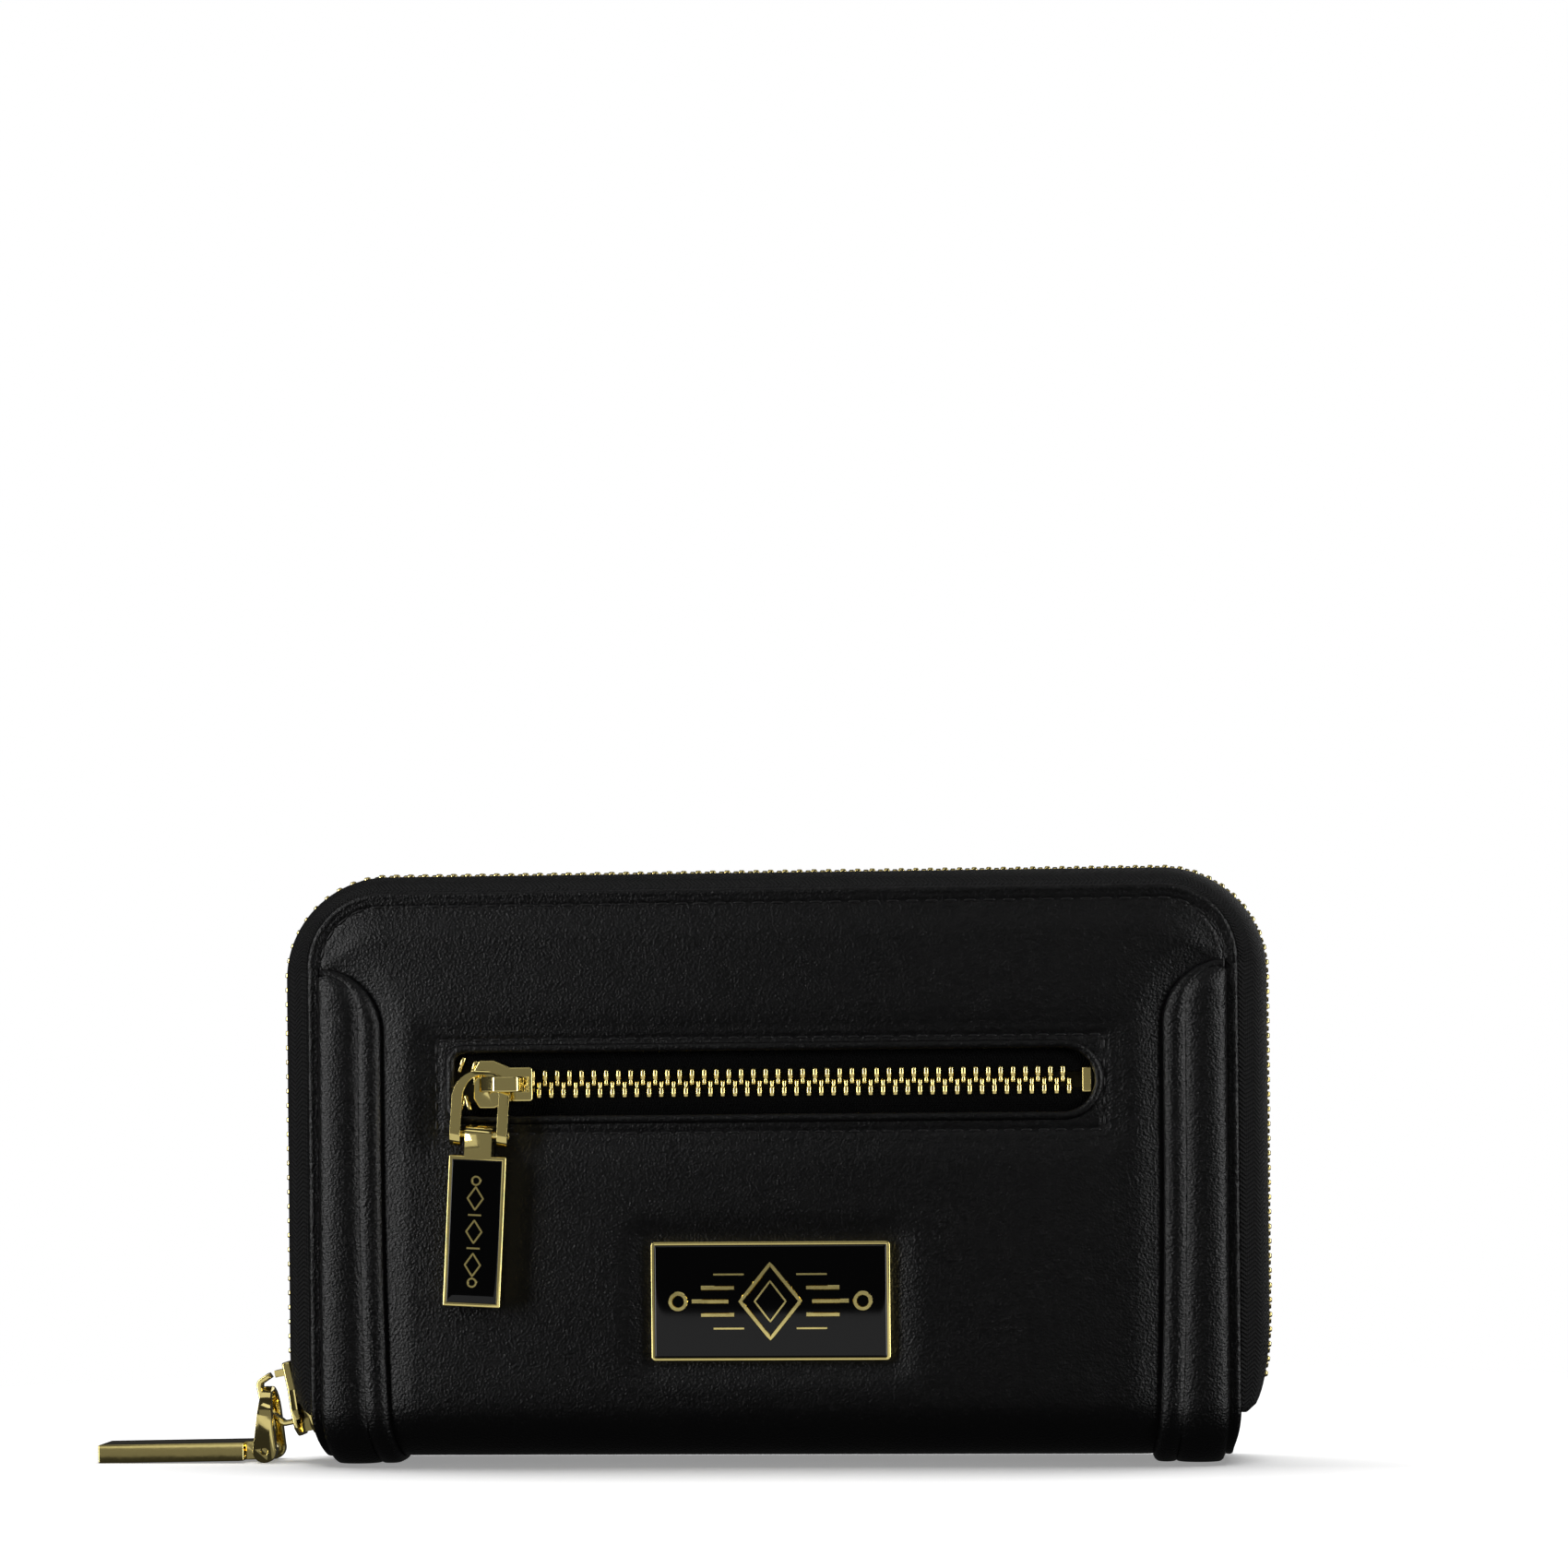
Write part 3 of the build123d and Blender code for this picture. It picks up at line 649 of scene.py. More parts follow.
def stitchPiece(name, lines, side, pitch):
    origins, axes = zip(*(stitchRun(line, side, pitch) for line in lines))
    shape = capsule(pitch * stitch["share"], stitch["radius"])
    piece = stampPiece(name, shape, np.concatenate(origins), np.concatenate(axes), finishes["thread"])
    if side < 0:
        bendAtFold(piece)
    else:
        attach(piece, "back_cover")


def makeStitches():
    for word, side in (("front", -1), ("back", 1)):
        stitchPiece(word + "PerimeterStitches", [perimeterLine()], side, stitch["perimeterPitch"])
        stitchPiece(word + "StripStitches", [stripLine(-1), stripLine(1)], side, stitch["stripPitch"])
    line = pocketLine()
    stitchPiece("pocketStitches", [line[i:i + 2] for i in range(4)], -1, stitch["pocketPitch"])


makeStitches()
print("stitches made")


# The window's outline grown outward, anticlockwise seen from the front.
def windowLine(grow):
    half = pocket["window"] / 2 + grow
    small = pocket["smallRound"] + grow
    left = pocket["left"] - grow
    endX = pocket["right"] - pocket["window"] / 2
    m = pocket["middle"]
    a = np.radians(np.linspace(-90, 90, 32))
    right = joined(endX + half * np.cos(a), m + half * np.sin(a))
    b = np.radians(np.linspace(90, 180, 8))
    high = joined(left + small + small * np.cos(b), m + half - small + small * np.sin(b))
    low = joined(high[:, 0], 2 * m - high[:, 1])[::-1]
    top = np.linspace([endX, m + half], [left + small, m + half], 60)[1:-1]
    bottom = np.linspace([left + small, m - half], [endX, m - half], 60)[1:-1]
    return np.concatenate([right, top, high, low, bottom])


# Rolled lip: a squarish oval carried round the window.
def makeLip():
    line = windowLine(pocket["lipWide"] / 2)
    ahead = np.roll(line, -1, 0) - np.roll(line, 1, 0)
    tangent = unit(joined(ahead[:, 0], 0.0, ahead[:, 1]))
    up = np.broadcast_to(frontward, tangent.shape)
    across = np.cross(tangent, up)
    a = np.arange(20) * 2 * math.pi / 20
    wide = pocket["lipWide"] / 2 + 0.15
    rise = np.where(np.sin(a) > 0, pocket["lipHigh"], pocket["lipDeep"])
    profile = joined(wide * np.sign(np.cos(a)) * np.abs(np.cos(a)) ** 0.8, rise * np.sin(a))
    path = joined(line[:, 0], -panelFace, line[:, 1])
    lip = gridPiece("pocketWelt", sweep(path, across, up, profile), finishes["outer"],
                    closeRows=True, closeColumns=True)
    settle(lip, "front_cover", "outer_leather", "pocket_lip")


pocketZip = dict(pitch=2.38, long=0.98, thick=1.7, reach=2.75, overlap=0.5,
                 spreadFrom=-47.5, spreadTo=-61.0, spreadBy=3.1, first=-60.2, last=58.6,
                 tapeFrom=1.7, tapeUnder=1.0, tapeThick=0.45, fall=0.9, beadAt=1.95, beadWide=0.45,
                 beadHigh=0.5)
pocketPlane = -sum(boxOf("pocket_teeth_upper"))[1] / 2


# How far a pocket tape stands from the closed line at x: the rows part behind the slider.
def parting(x):
    share = np.clip((pocketZip["spreadFrom"] - x) / (pocketZip["spreadFrom"] - pocketZip["spreadTo"]), 0, 1)
    return pocketZip["spreadBy"] * share ** 1.6


# One zip tooth along its own Z: a clamp on the tape, a neck and a round head past the middle.
def toothShape(long, thick, low, high):
    along = np.array([0.0, 0.05, 0.56, 0.64, 0.74, 0.92, 1.0])
    wide = np.array([0.76, 1.0, 1.0, 0.64, 0.84, 0.84, 0.5]) * long / 2
    deep = np.array([0.8, 1.0, 1.0, 0.72, 0.86, 0.82, 0.5]) * thick / 2
    a = np.radians(22.5 + 45 * np.arange(8))
    ring = joined(np.cos(a), np.sin(a))
    ring = np.sign(ring) * np.abs(ring) ** 0.6
    ring = ring / np.abs(ring).max()
    corners = joined(wide[:, None] * ring[None, :, 0], deep[:, None] * ring[None, :, 1],
                     np.broadcast_to((low + (high - low) * along)[:, None], (7, 8)))
    faces = gridFaces(7, 8, closeColumns=True)
    caps = [[3, 2, 1, 0], [7, 4, 3, 0], [7, 6, 5, 4]]
    ends = [[48 + i for i in cap[::-1]] for cap in caps]
    return corners.reshape(-1, 3), np.concatenate([faces, np.array(caps + ends)])


# Two rows of teeth that mesh, each with its tape and the tape's beaded edge.
def makePocketZip():
    z = pocketZip
    shape = toothShape(z["long"], z["thick"], -z["reach"], z["overlap"])
    half = pocket["window"] / 2
    xs = np.linspace(pocket["left"] - 1.2, pocket["right"] + 0.8, 150)
    v = np.linspace(0, 1, 14)
    a = np.arange(8) * math.pi / 4
    bead = joined(z["beadWide"] * np.cos(a), z["beadHigh"] * np.sin(a))
    for word, up, shift in (("Upper", 1, 0), ("Lower", -1, 0.5)):
        x = np.arange(z["first"] + shift * z["pitch"], z["last"], z["pitch"])
        rise = pocket["middle"] + up * parting(x)
        slope = up * (parting(x + 0.1) - parting(x - 0.1)) / 0.2
        along = unit(joined(1.0, 0.0, slope)) * up
        toward = unit(joined(slope * up, 0.0, -1.0 * up))
        out = np.cross(toward, along)
        origins = joined(x, -pocketPlane, rise)
        teeth = stampPiece("pocketTeeth" + word, shape, origins, np.stack([along, out, toward], 1),
                           finishes["teeth"])
        settle(teeth, "front_cover", "zip_metal", "pocket_teeth_" + word.lower())
        inner = (z["tapeFrom"] + parting(xs))[:, None]
        across = inner + (half + z["tapeUnder"] - inner) * v
        y = -pocketPlane + 0.1 + z["fall"] * ease((v - 0.35) / 0.6)
        grid = joined(xs[:, None], y, pocket["middle"] + up * across)
        tape = gridPiece("pocketTape" + word, grid, finishes["pocketTape"], uv=joined(xs[:, None], across),
                         flip=up < 0)
        thicken(tape, z["tapeThick"])
        settle(tape, "front_cover", "zip_tape", "pocket_tape_" + word.lower())
        path = joined(xs, -pocketPlane, pocket["middle"] + up * (z["beadAt"] + parting(xs)))
        tangent = unit(np.gradient(path, axis=0))
        face = np.broadcast_to(frontward, tangent.shape)
        edge = gridPiece("pocketTapeBead" + word, sweep(path, np.cross(tangent, face), face, bead),
                         finishes["pocketTape"], closeColumns=True, uv=joined(xs[:, None], a * 0.5))
        settle(edge, "front_cover", "zip_tape")


makeLip()
makePocketZip()
print("pocket made")

mainZip = dict(pitch=2.85, long=1.25, thick=2.2, reach=3.0, overlap=0.8, bend=dict(left=22.0, right=28.0),
               low=10.2, drawIn=91.2, corner=19.7, edgeCorner=14.1, hem=12.35, thickTape=0.6,
               tapeEdge=1.9, tapeOut=6.3, rightLow=15.5)
teethX, _, teethTop = boxOf("main_teeth_front")[1] - mainZip["thick"] / 2
teethLow = boxOf("main_slider")[1][2] + 0.6


# Run of the zip in the cover's plane: up the left, over the top and down the right,
# with the same number of points on each stretch for the panel's edge and for the teeth.
def zipRun(atTeeth):
    z = mainZip
    x = teethX if atTeeth else panelHalf - 0.5
    top = teethTop if atTeeth else panelTop - 0.5
    r = z["corner"] if atTeeth else z["edgeCorner"]
    low = z["drawIn"] if atTeeth else x - 0.6
    sides = {}
    for word in ("left", "right"):
        bend = z["bend"][word]
        t = np.linspace(1, 0, 16)
        drawn = low + (x - low) * np.sqrt(1 - t ** 2)
        foot = joined(drawn, bend - (bend - z["low"]) * t)
        rise = np.linspace([x, bend], [x, top - r], 50)[1:]
        a = np.radians(np.linspace(0, 90, 25))[1:]
        arc = joined(x - r + r * np.cos(a), top - r + r * np.sin(a))
        sides[word] = np.concatenate([foot, rise, arc])
    left = sides["left"] * [-1, 1]
    right = sides["right"][::-1]
    return np.concatenate([left, np.linspace(left[-1], right[0], 100)[1:-1], right])


# The tape leaves the hem flat, swells outward and turns square to the cover at the teeth.
def makeMainTapes():
    edge = zipRun(False)
    teeth = zipRun(True)
    a = np.linspace(0, math.pi / 2, 16)
    share = np.concatenate([[-0.35, -0.15], np.sin(a)])
    depth = np.concatenate([[0, 0], 1 - np.cos(a)])
    run = edge[:, None] + share[None, :, None] * (teeth - edge)[:, None]
    along = np.concatenate([[0], np.cumsum(np.linalg.norm(np.diff(teeth, axis=0), axis=1))])
    reach = mainZip["hem"] - mainZip["tapeEdge"]
    across = np.cumsum(np.hypot(np.diff(share) * mainZip["tapeOut"], np.diff(depth) * reach))
    across = np.concatenate([[0], across])
    for word, side in (("front", -1), ("back", 1)):
        y = side * (mainZip["hem"] - reach * depth)
        grid = joined(run[..., 0], y[None], run[..., 1])
        uv = joined(along[:, None], across[None])
        tape = gridPiece(word + "ZipTape", grid, finishes["tape"], uv=uv, flip=side > 0)
        thicken(tape, mainZip["thickTape"])
        settle(tape, word + "_cover", "zip_tape", "main_tape_" + word)


# Teeth at the pitch along the run, the back row half a pitch on.
def makeMainTeeth():
    z = mainZip
    line = zipRun(True)
    first = np.argmax(line[:, 1] > teethLow)
    last = len(line) - np.argmax(line[::-1, 1] > z["rightLow"])
    line = line[first:last]
    shape = toothShape(z["long"], z["thick"], -z["reach"], z["overlap"])
    for word, side, shift in (("front", -1, 0.0), ("back", 1, 0.5)):
        count = int(runLength(line) / z["pitch"])
        fine = evenly(line, 4 * count + 3)
        start = int(shift * 4) + 1
        at = fine[start:-1:4]
        tangent = fine[start + 1::4][:len(at)] - fine[start - 1::4][:len(at)]
        tangent = unit(joined(tangent[:, 0], 0.0, tangent[:, 1]))
        toward = np.broadcast_to([0.0, -float(side), 0.0], tangent.shape)
        out = np.cross(toward, tangent)
        origins = joined(at[:, 0], 0.0, at[:, 1])
        teeth = stampPiece(word + "ZipTeeth", shape, origins, np.stack([tangent, out, toward], 1),
                           finishes["teeth"])
        settle(teeth, word + "_cover", "zip_metal", "main_teeth_" + word)


makeMainTapes()
makeMainTeeth()
print("zip made")

# The part's own metal with its sharp edges rounded over: a merged copy with a bevel.
def roundedCopy(node, width, body, slot, finish):
    mesh = frame["nodes"][node].data.copy()
    work = bmesh.new()
    work.from_mesh(mesh)
    bmesh.ops.remove_doubles(work, verts=work.verts, dist=0.000002)
    bmesh.ops.dissolve_limit(work, angle_limit=math.radians(1.0), verts=work.verts, edges=work.edges)
    work.to_mesh(mesh)
    work.free()
    mesh.polygons.foreach_set("use_smooth", np.ones(len(mesh.polygons), dtype=bool))
    mesh.materials.clear()
    mesh.materials.append(finish)
    words = node.split("_")
    piece = bpy.data.objects.new(words[0] + "".join(word.title() for word in words[1:]), mesh)
    bpy.context.scene.collection.objects.link(piece)
    bevel = piece.modifiers.new("roundedEdges", "BEVEL")
    bevel.width = width * mm
    bevel.segments = 3
    bevel.limit_method = "ANGLE"
    bevel.angle_limit = math.radians(32)
    bevel.harden_normals = True
    settle(piece, body, slot, node)


# Each metal node with the width of its rounded edges and the body that carries it.
goldParts = dict(main_slider=(0.16, "main_slider"), pocket_slider=(0.16, "pocket_slider"),
                 main_link=(0.42, "main_link"), pocket_link=(0.42, "pocket_link"),
                 main_pin=(0.12, "main_link"), pocket_pin=(0.12, "pocket_link"),
                 main_bar=(0.14, "main_bar"), pocket_bar=(0.14, "pocket_bar"),
                 badge_plate=(0.1, "front_cover"), coin_slider=(0.1, "coin_slider"),
                 coin_pull=(0.12, "coin_pull"))
endStops = dict(main_end_stop=(0.25, "back_cover"), pocket_end_stop=(0.2, "front_cover"))


def makeHardware():
    for node, (width, body) in goldParts.items():
        roundedCopy(node, width, body, "gold_metal", finishes["gold"])
    for node, (width, body) in endStops.items():
        roundedCopy(node, width, body, "zip_metal", finishes["teeth"])


enamel = dict(deep=0.35, badgeRise=0.42, badgeRun=2.4, badgeLift=0.12, barRise=0.2,
              mainBarRise=0.1, barRun=1.3, barLift=0.1, mainBarLift=0.27, barLong=27.6,
              barWide=9.7, barThick=0.73)
zipLean = math.radians(3.0)
upright = (np.array([1.0, 0, 0]), np.array([0, 0, 1.0]), frontward)
leaning = (np.array([math.cos(zipLean), 0, -math.sin(zipLean)]),
           np.array([math.sin(zipLean), 0, math.cos(zipLean)]), frontward)


# A poured enamel face: flat in the middle, falling in a quarter round to the rim all about it.
# Its axes are right, up and out of the face.
def domedEnamel(name, node, middle, axes, half, rise, run, body):
    right, up, out = axes
    across = np.linspace(-math.pi / 2, math.pi / 2, 41)
    u = np.sin(across) * half[0]
    v = np.sin(across) * half[1]
    gap = np.minimum((half[0] - np.abs(u))[None], (half[1] - np.abs(v))[:, None])
    high = rise * np.sqrt(1 - (1 - np.clip(gap / run, 0, 1)) ** 2)
    spot = middle + u[None, :, None] * right + v[:, None, None] * up + high[..., None] * out
    piece = gridPiece(name, spot, finishes["enamel"], flip=np.dot(np.cross(right, up), out) < 0)
    thicken(piece, enamel["deep"])
    settle(piece, body, "enamel", node)


def makeEnamels():
    e = enamel
    low, high = boxOf("badge_enamel")
    half = ((high[0] - low[0]) / 2 + 0.05, (high[2] - low[2]) / 2 + 0.05)
    middle = np.array([0, low[1] + e["badgeLift"], badge["middle"]])
    domedEnamel("badgeEnamel", "badge_enamel", middle, upright, half, e["badgeRise"], e["badgeRun"],
                "front_cover")
    half = (e["barWide"] / 2, e["barLong"] / 2)
    low, high = boxOf("pocket_bar_enamel")
    middle = np.array([(low[0] + high[0]) / 2, low[1] + e["barLift"], (low[2] + high[2]) / 2])
    domedEnamel("pocketBarEnamel", "pocket_bar_enamel", middle, leaning, half, e["barRise"], e["barRun"],
                "pocket_bar")
    low, high = boxOf("main_bar_enamel")
    sink = math.atan2(high[2] - low[2] - e["barThick"], high[0] - low[0])
    lengthwise = np.array([math.cos(sink), 0, math.sin(sink)])
    downward = np.array([math.sin(sink), 0, -math.cos(sink)])
    middle = (low + high) / 2 + downward * e["mainBarLift"]
    lying = (np.array([0, 1.0, 0]), lengthwise, downward)
    domedEnamel("mainBarEnamel", "main_bar_enamel", middle, lying, half, e["mainBarRise"], e["barRun"],
                "main_bar")


makeHardware()
makeEnamels()
print("hardware made")

# Inside: linings, card leaves, gussets and the coin pocket.
inside = dict(liningHalf=89.0, liningLow=11.0, liningTop=110.3, liningRound=13.5, liningThick=0.35,
              liningY=9.0, cardHalf=43.0, cardGap=0.5, cardFace=8.75, cardStep=12.0, cardLeaf=0.23,
              cardCount=6, cardTop=101.6, cardLow=11.2, notch=9.5, notchDeep=3.4, leafThick=0.2,
              spineHalf=84.0, spineFrom=13.0, spineDeep=1.75, stitchLong=1.7, stitchRadius=0.13,
              stitchPitch=2.7, stitchDown=1.6)


# A cloth face inside a cover, rounded at its upper corners, with a slow ripple.
def makeLining(word, side):
    z = inside
    downs = np.concatenate([cornerRows(z["liningRound"], 5),
                            np.linspace(z["liningRound"], z["liningTop"] - z["liningLow"], 60)])
    fall = np.maximum(z["liningRound"] - downs, 0)
    half = z["liningHalf"] - z["liningRound"] + np.sqrt(z["liningRound"] ** 2 - fall ** 2)
    u = np.linspace(-1, 1, 90)
    x = u[None] * half[:, None]
    height = np.broadcast_to((z["liningTop"] - downs)[:, None], x.shape)
    ripple = 0.06 * np.sin(x / 8.0) * np.sin(height / 13.0)
    grid = joined(x, side * (z["liningY"] + ripple), height)
    cloth = gridPiece(word + "Lining", grid, finishes["lining"], uv=joined(x, height), flip=side < 0)
    thicken(cloth, z["liningThick"], 0.0)
    settle(cloth, word + "_cover", "lining_cloth", word + "_lining")


# Lining of the spine: it follows the fold inside the leather, from one cover to the other.
def makeSpineLining():
    reach = downMiddle - (panelTop - inside["spineFrom"])
    q = np.linspace(-reach, reach, 70)[:, None]
    x = np.linspace(-inside["spineHalf"], inside["spineHalf"], 60)
    grid = wrapSkin(x, downMiddle - np.abs(q), -inside["spineDeep"], 1)
    grid[..., 1] *= np.where(q < 0, -1.0, 1.0)
    cloth = gridPiece("spineLining", grid, finishes["lining"], uv=joined(x, q), flip=True)
    thicken(cloth, inside["liningThick"], 0.0)
    bendAtFold(cloth)
    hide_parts("spine_lining")
    round(2 * reach * mm, 4)


# Card leaves of falling height; each has a thumb notch and a turned top edge.
def makeCardLeaves(cover, side, word, x0):
    z = inside
    middle = x0 * (z["cardHalf"] + z["cardGap"])
    u = np.linspace(-1, 1, 61)
    v = np.concatenate([np.linspace(0, 0.9, 12), np.linspace(0.92, 1, 8)])
    grids = []
    for i in range(z["cardCount"]):
        top = z["cardTop"] - i * z["cardStep"]
        x = u * (z["cardHalf"] - 0.3)
        dip = z["notchDeep"] * root(1 - (x / z["notch"]) ** 2) ** 1.4
        roll = 2.0 - root(4.0 - np.maximum(np.abs(x) - z["cardHalf"] + 2.3, 0) ** 2)
        rim = top - dip - roll
        height = z["cardLow"] + (rim - z["cardLow"])[None] * v[:, None]
        swell = 0.07 * bell((v - 0.985) / 0.012)[:, None]
        y = z["cardFace"] - i * z["cardLeaf"] - swell
        grids.append(joined(middle + x[None], side * y, height))
    rows, columns = grids[0].shape[:2]
    faces = gridFaces(rows, columns, flip=side > 0)
    shift = np.arange(len(grids))[:, None, None] * rows * columns
    leaves = newPiece(cover + "CardLeaves" + word, np.stack(grids), (faces[None] + shift).reshape(-1, 4),
                      finishes["inner"])
    thicken(leaves, z["leafThick"])
    settle(leaves, cover + "_cover", "inner_leather", cover + "_cards_" + word.lower())


# Short stitches along each leaf's top edge, on both sides of its notch.
def makeCardStitches(cover, side):
    z = inside
    shape = capsule(z["stitchLong"], z["stitchRadius"])
    origins = []
    for x0 in (-1, 1):
        middle = x0 * (z["cardHalf"] + z["cardGap"])
        for i in range(z["cardCount"]):
            top = z["cardTop"] - i * z["cardStep"] - z["stitchDown"]
            y = side * (z["cardFace"] - (i + 1) * z["cardLeaf"] + 0.05)
            x = np.arange(z["notch"] + 2, z["cardHalf"] - 3, z["stitchPitch"])
            for run in (middle + x, middle - x):
                origins.append(joined(run, y, top))
    origins = np.concatenate(origins)
    axes = np.broadcast_to(np.eye(3), (len(origins), 3, 3))
    piece = stampPiece(cover + "CardStitches", shape, origins, axes, finishes["thread"])
    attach(piece, cover + "_cover")


gusset = dict(edge=88.5, shoulder=6.9, tip=74.0, tipY=5.6, flat=77.6, turnY=4.0, low=12.0, top=97.9,
              thick=0.4, ripple=0.25)


# Side gusset: a W in plan, from the front cover in to the divider and out to the back cover.
def makeGusset(word, x0):
    z = gusset
    half = np.array([[z["edge"], inside["liningY"] - 0.5], [z["edge"] - 1.2, z["shoulder"] + 0.6],
                     [(z["edge"] + z["tip"]) / 2, z["tipY"] + 1.0], [z["tip"] + 0.8, z["tipY"] + 0.5],
                     [z["tip"], z["tipY"] - 0.4], [z["tip"] + 1.5, z["turnY"]],
                     [z["flat"], z["turnY"] - 1.2], [z["flat"], 0.0]])
    plan = evenly(np.concatenate([half, half[-2::-1] * [1, -1]]), 90)
    kernel = np.ones(5) / 5
    padded = np.concatenate([plan[:1].repeat(2, 0), plan, plan[-1:].repeat(2, 0)])
    plan = np.stack([np.convolve(padded[:, k], kernel, "valid") for k in range(2)], -1)
    rise = np.linspace(z["low"], z["top"], 50)
    along = np.linspace(0, 1, len(plan))
    wave = z["ripple"] * np.sin(rise / 9.0)[:, None] * np.sin(along * math.pi * 4)[None]
    x = x0 * (plan[None, :, 0] + wave)
    grid = joined(x, plan[None, :, 1], rise[:, None])
    wide = runLength(plan)
    uv = joined(along[None] * wide, rise[:, None])
    cloth = gridPiece("gusset" + word, grid, finishes["lining"], uv=uv, flip=x0 > 0)
    thicken(cloth, z["thick"], 0.0)
    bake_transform(cloth)
    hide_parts("gusset_" + word.lower())


coin = dict(half=77.2, low=11.0, top=97.0, thick=2.7, wall=0.5, footRound=3.0, zipZ=99.4, coilRadius=0.7,
            coilGap=0.05, coilPitch=1.15, start=-72.1, stop=74.1, wire=0.22, tapeThick=0.3)


# Coin bag: a flat pouch whose walls swell a little and close together at the foot and sides.
def makeCoinBag():
    z = coin
    a = np.linspace(0, 2 * math.pi, 160, endpoint=False)
    plump = np.abs(np.sin(a)) ** 0.22 * np.sign(np.sin(a))
    flatX = np.sign(np.cos(a)) * np.abs(np.cos(a)) ** 0.5
    r = z["footRound"]
    rise = np.concatenate([z["low"] + cornerRows(r, 10), np.linspace(z["low"] + r, z["top"], 45)])[:, None]
    share = np.clip((rise - z["low"]) / r, 0, 1)
    thick = z["thick"] * (0.12 + 0.88 * np.sqrt(share * (2 - share)))
    x = flatX * z["half"]
    y = plump * thick * (1 - 0.03 * np.cos(x / 12.0) * np.sin(rise / 10.0))
    grid = joined(x, y, rise)
    bag = gridPiece("coinBag", grid, finishes["inner"], closeColumns=True)
    thicken(bag, z["wall"])
    settle(bag, "divider", "inner_leather", "coin_bag")


# Coin zip's tapes: each leaves its coil level and bends down over the bag's wall.
def makeCoinTapes():
    z = coin
    half = z["thick"]
    x = np.linspace(z["start"], z["stop"], 120)
    edge = 2 * z["coilRadius"] + 0.15
    level, top = z["zipZ"], z["top"]
    profile = np.array([[edge, level], [edge + 0.4, level + 0.05], [half - 0.35, level - 0.05],
                        [half - 0.1, level - 0.5], [half - 0.15, top], [half - 0.2, top - 3.0]])
    profile = evenly(profile, 14)
    y, up = profile.T
    side = np.array([-1, 1])[:, None, None]
    grid = joined(x[:, None], side * y, up)
    across = np.linspace(0, runLength(profile), 14)
    uv = joined(x[:, None], across + 0 * side)
    faces = np.concatenate([gridFaces(120, 14), gridFaces(120, 14, flip=True) + 120 * 14])
    tape = newPiece("coinZipTapes", grid, faces, finishes["tape"], uv=uv)
    thicken(tape, z["tapeThick"], 0.0)
    settle(tape, "divider", "zip_tape", "coin_tapes")


# Coin zip's coils: a thin wire wound along each tape's edge, side by side.
def makeCoinCoils():
    z = coin
    turns = (z["stop"] - z["start"]) / z["coilPitch"]
    t = np.linspace(0, 1, int(turns * 10))
    angle = t * turns * 2 * math.pi
    r = z["coilRadius"] - z["wire"]
    a = np.arange(5) * 2 * math.pi / 5
    ring = joined(z["wire"] * np.cos(a), z["wire"] * np.sin(a))
    coils = []
    for side in (-1, 1):
        path = joined(z["start"] + (z["stop"] - z["start"]) * t,
                      side * (z["coilRadius"] + z["coilGap"] + r * np.cos(angle)),
                      z["zipZ"] + r * np.sin(angle))
        tangent = unit(np.gradient(path, axis=0))
        out = unit(np.cross(tangent, np.broadcast_to([1.0, 0, 0], tangent.shape)))
        coils.append(sweep(path, np.cross(tangent, out), out, ring))
    faces = gridFaces(len(t), 5, closeColumns=True)
    faces = np.concatenate([faces, faces + len(t) * 5])
    coil = newPiece("coinZipCoils", np.stack(coils), faces, finishes["coil"])
    settle(coil, "divider", "coil", "coin_coils")


def makeInside():
    for cover, side in (("front", -1), ("back", 1)):
        makeLining(cover, side)
        for word, x0 in (("Left", -1), ("Right", 1)):
            makeCardLeaves(cover, side, word, x0)
        makeCardStitches(cover, side)
    makeSpineLining()
    makeGusset("Left", -1)
    makeGusset("Right", 1)
    makeCoinBag()
    makeCoinTapes()
    makeCoinCoils()


makeInside()
print("inside made")

ornament = dict(wide=0.85, high=0.28, fine=0.45, sunk=0.3, bigLozenge=(5.8, 7.2), smallLozenge=(3.0, 3.9),
                boldBars=((0, 8.0, 15.2), (2.6, 6.9, 13.4), (-2.6, 6.9, 13.4)),
                fineBars=((5.2, 5.0, 11.0), (-5.2, 5.0, 11.0)), ringAt=17.8, ringRadius=1.5,
                barLozenges=(-6.4, 0.0, 6.4), barLozenge=(1.5, 2.2), barDashes=(-3.2, 3.2), dashHalf=1.3,
                barRings=(-9.8, 9.8), barRingRadius=0.8)


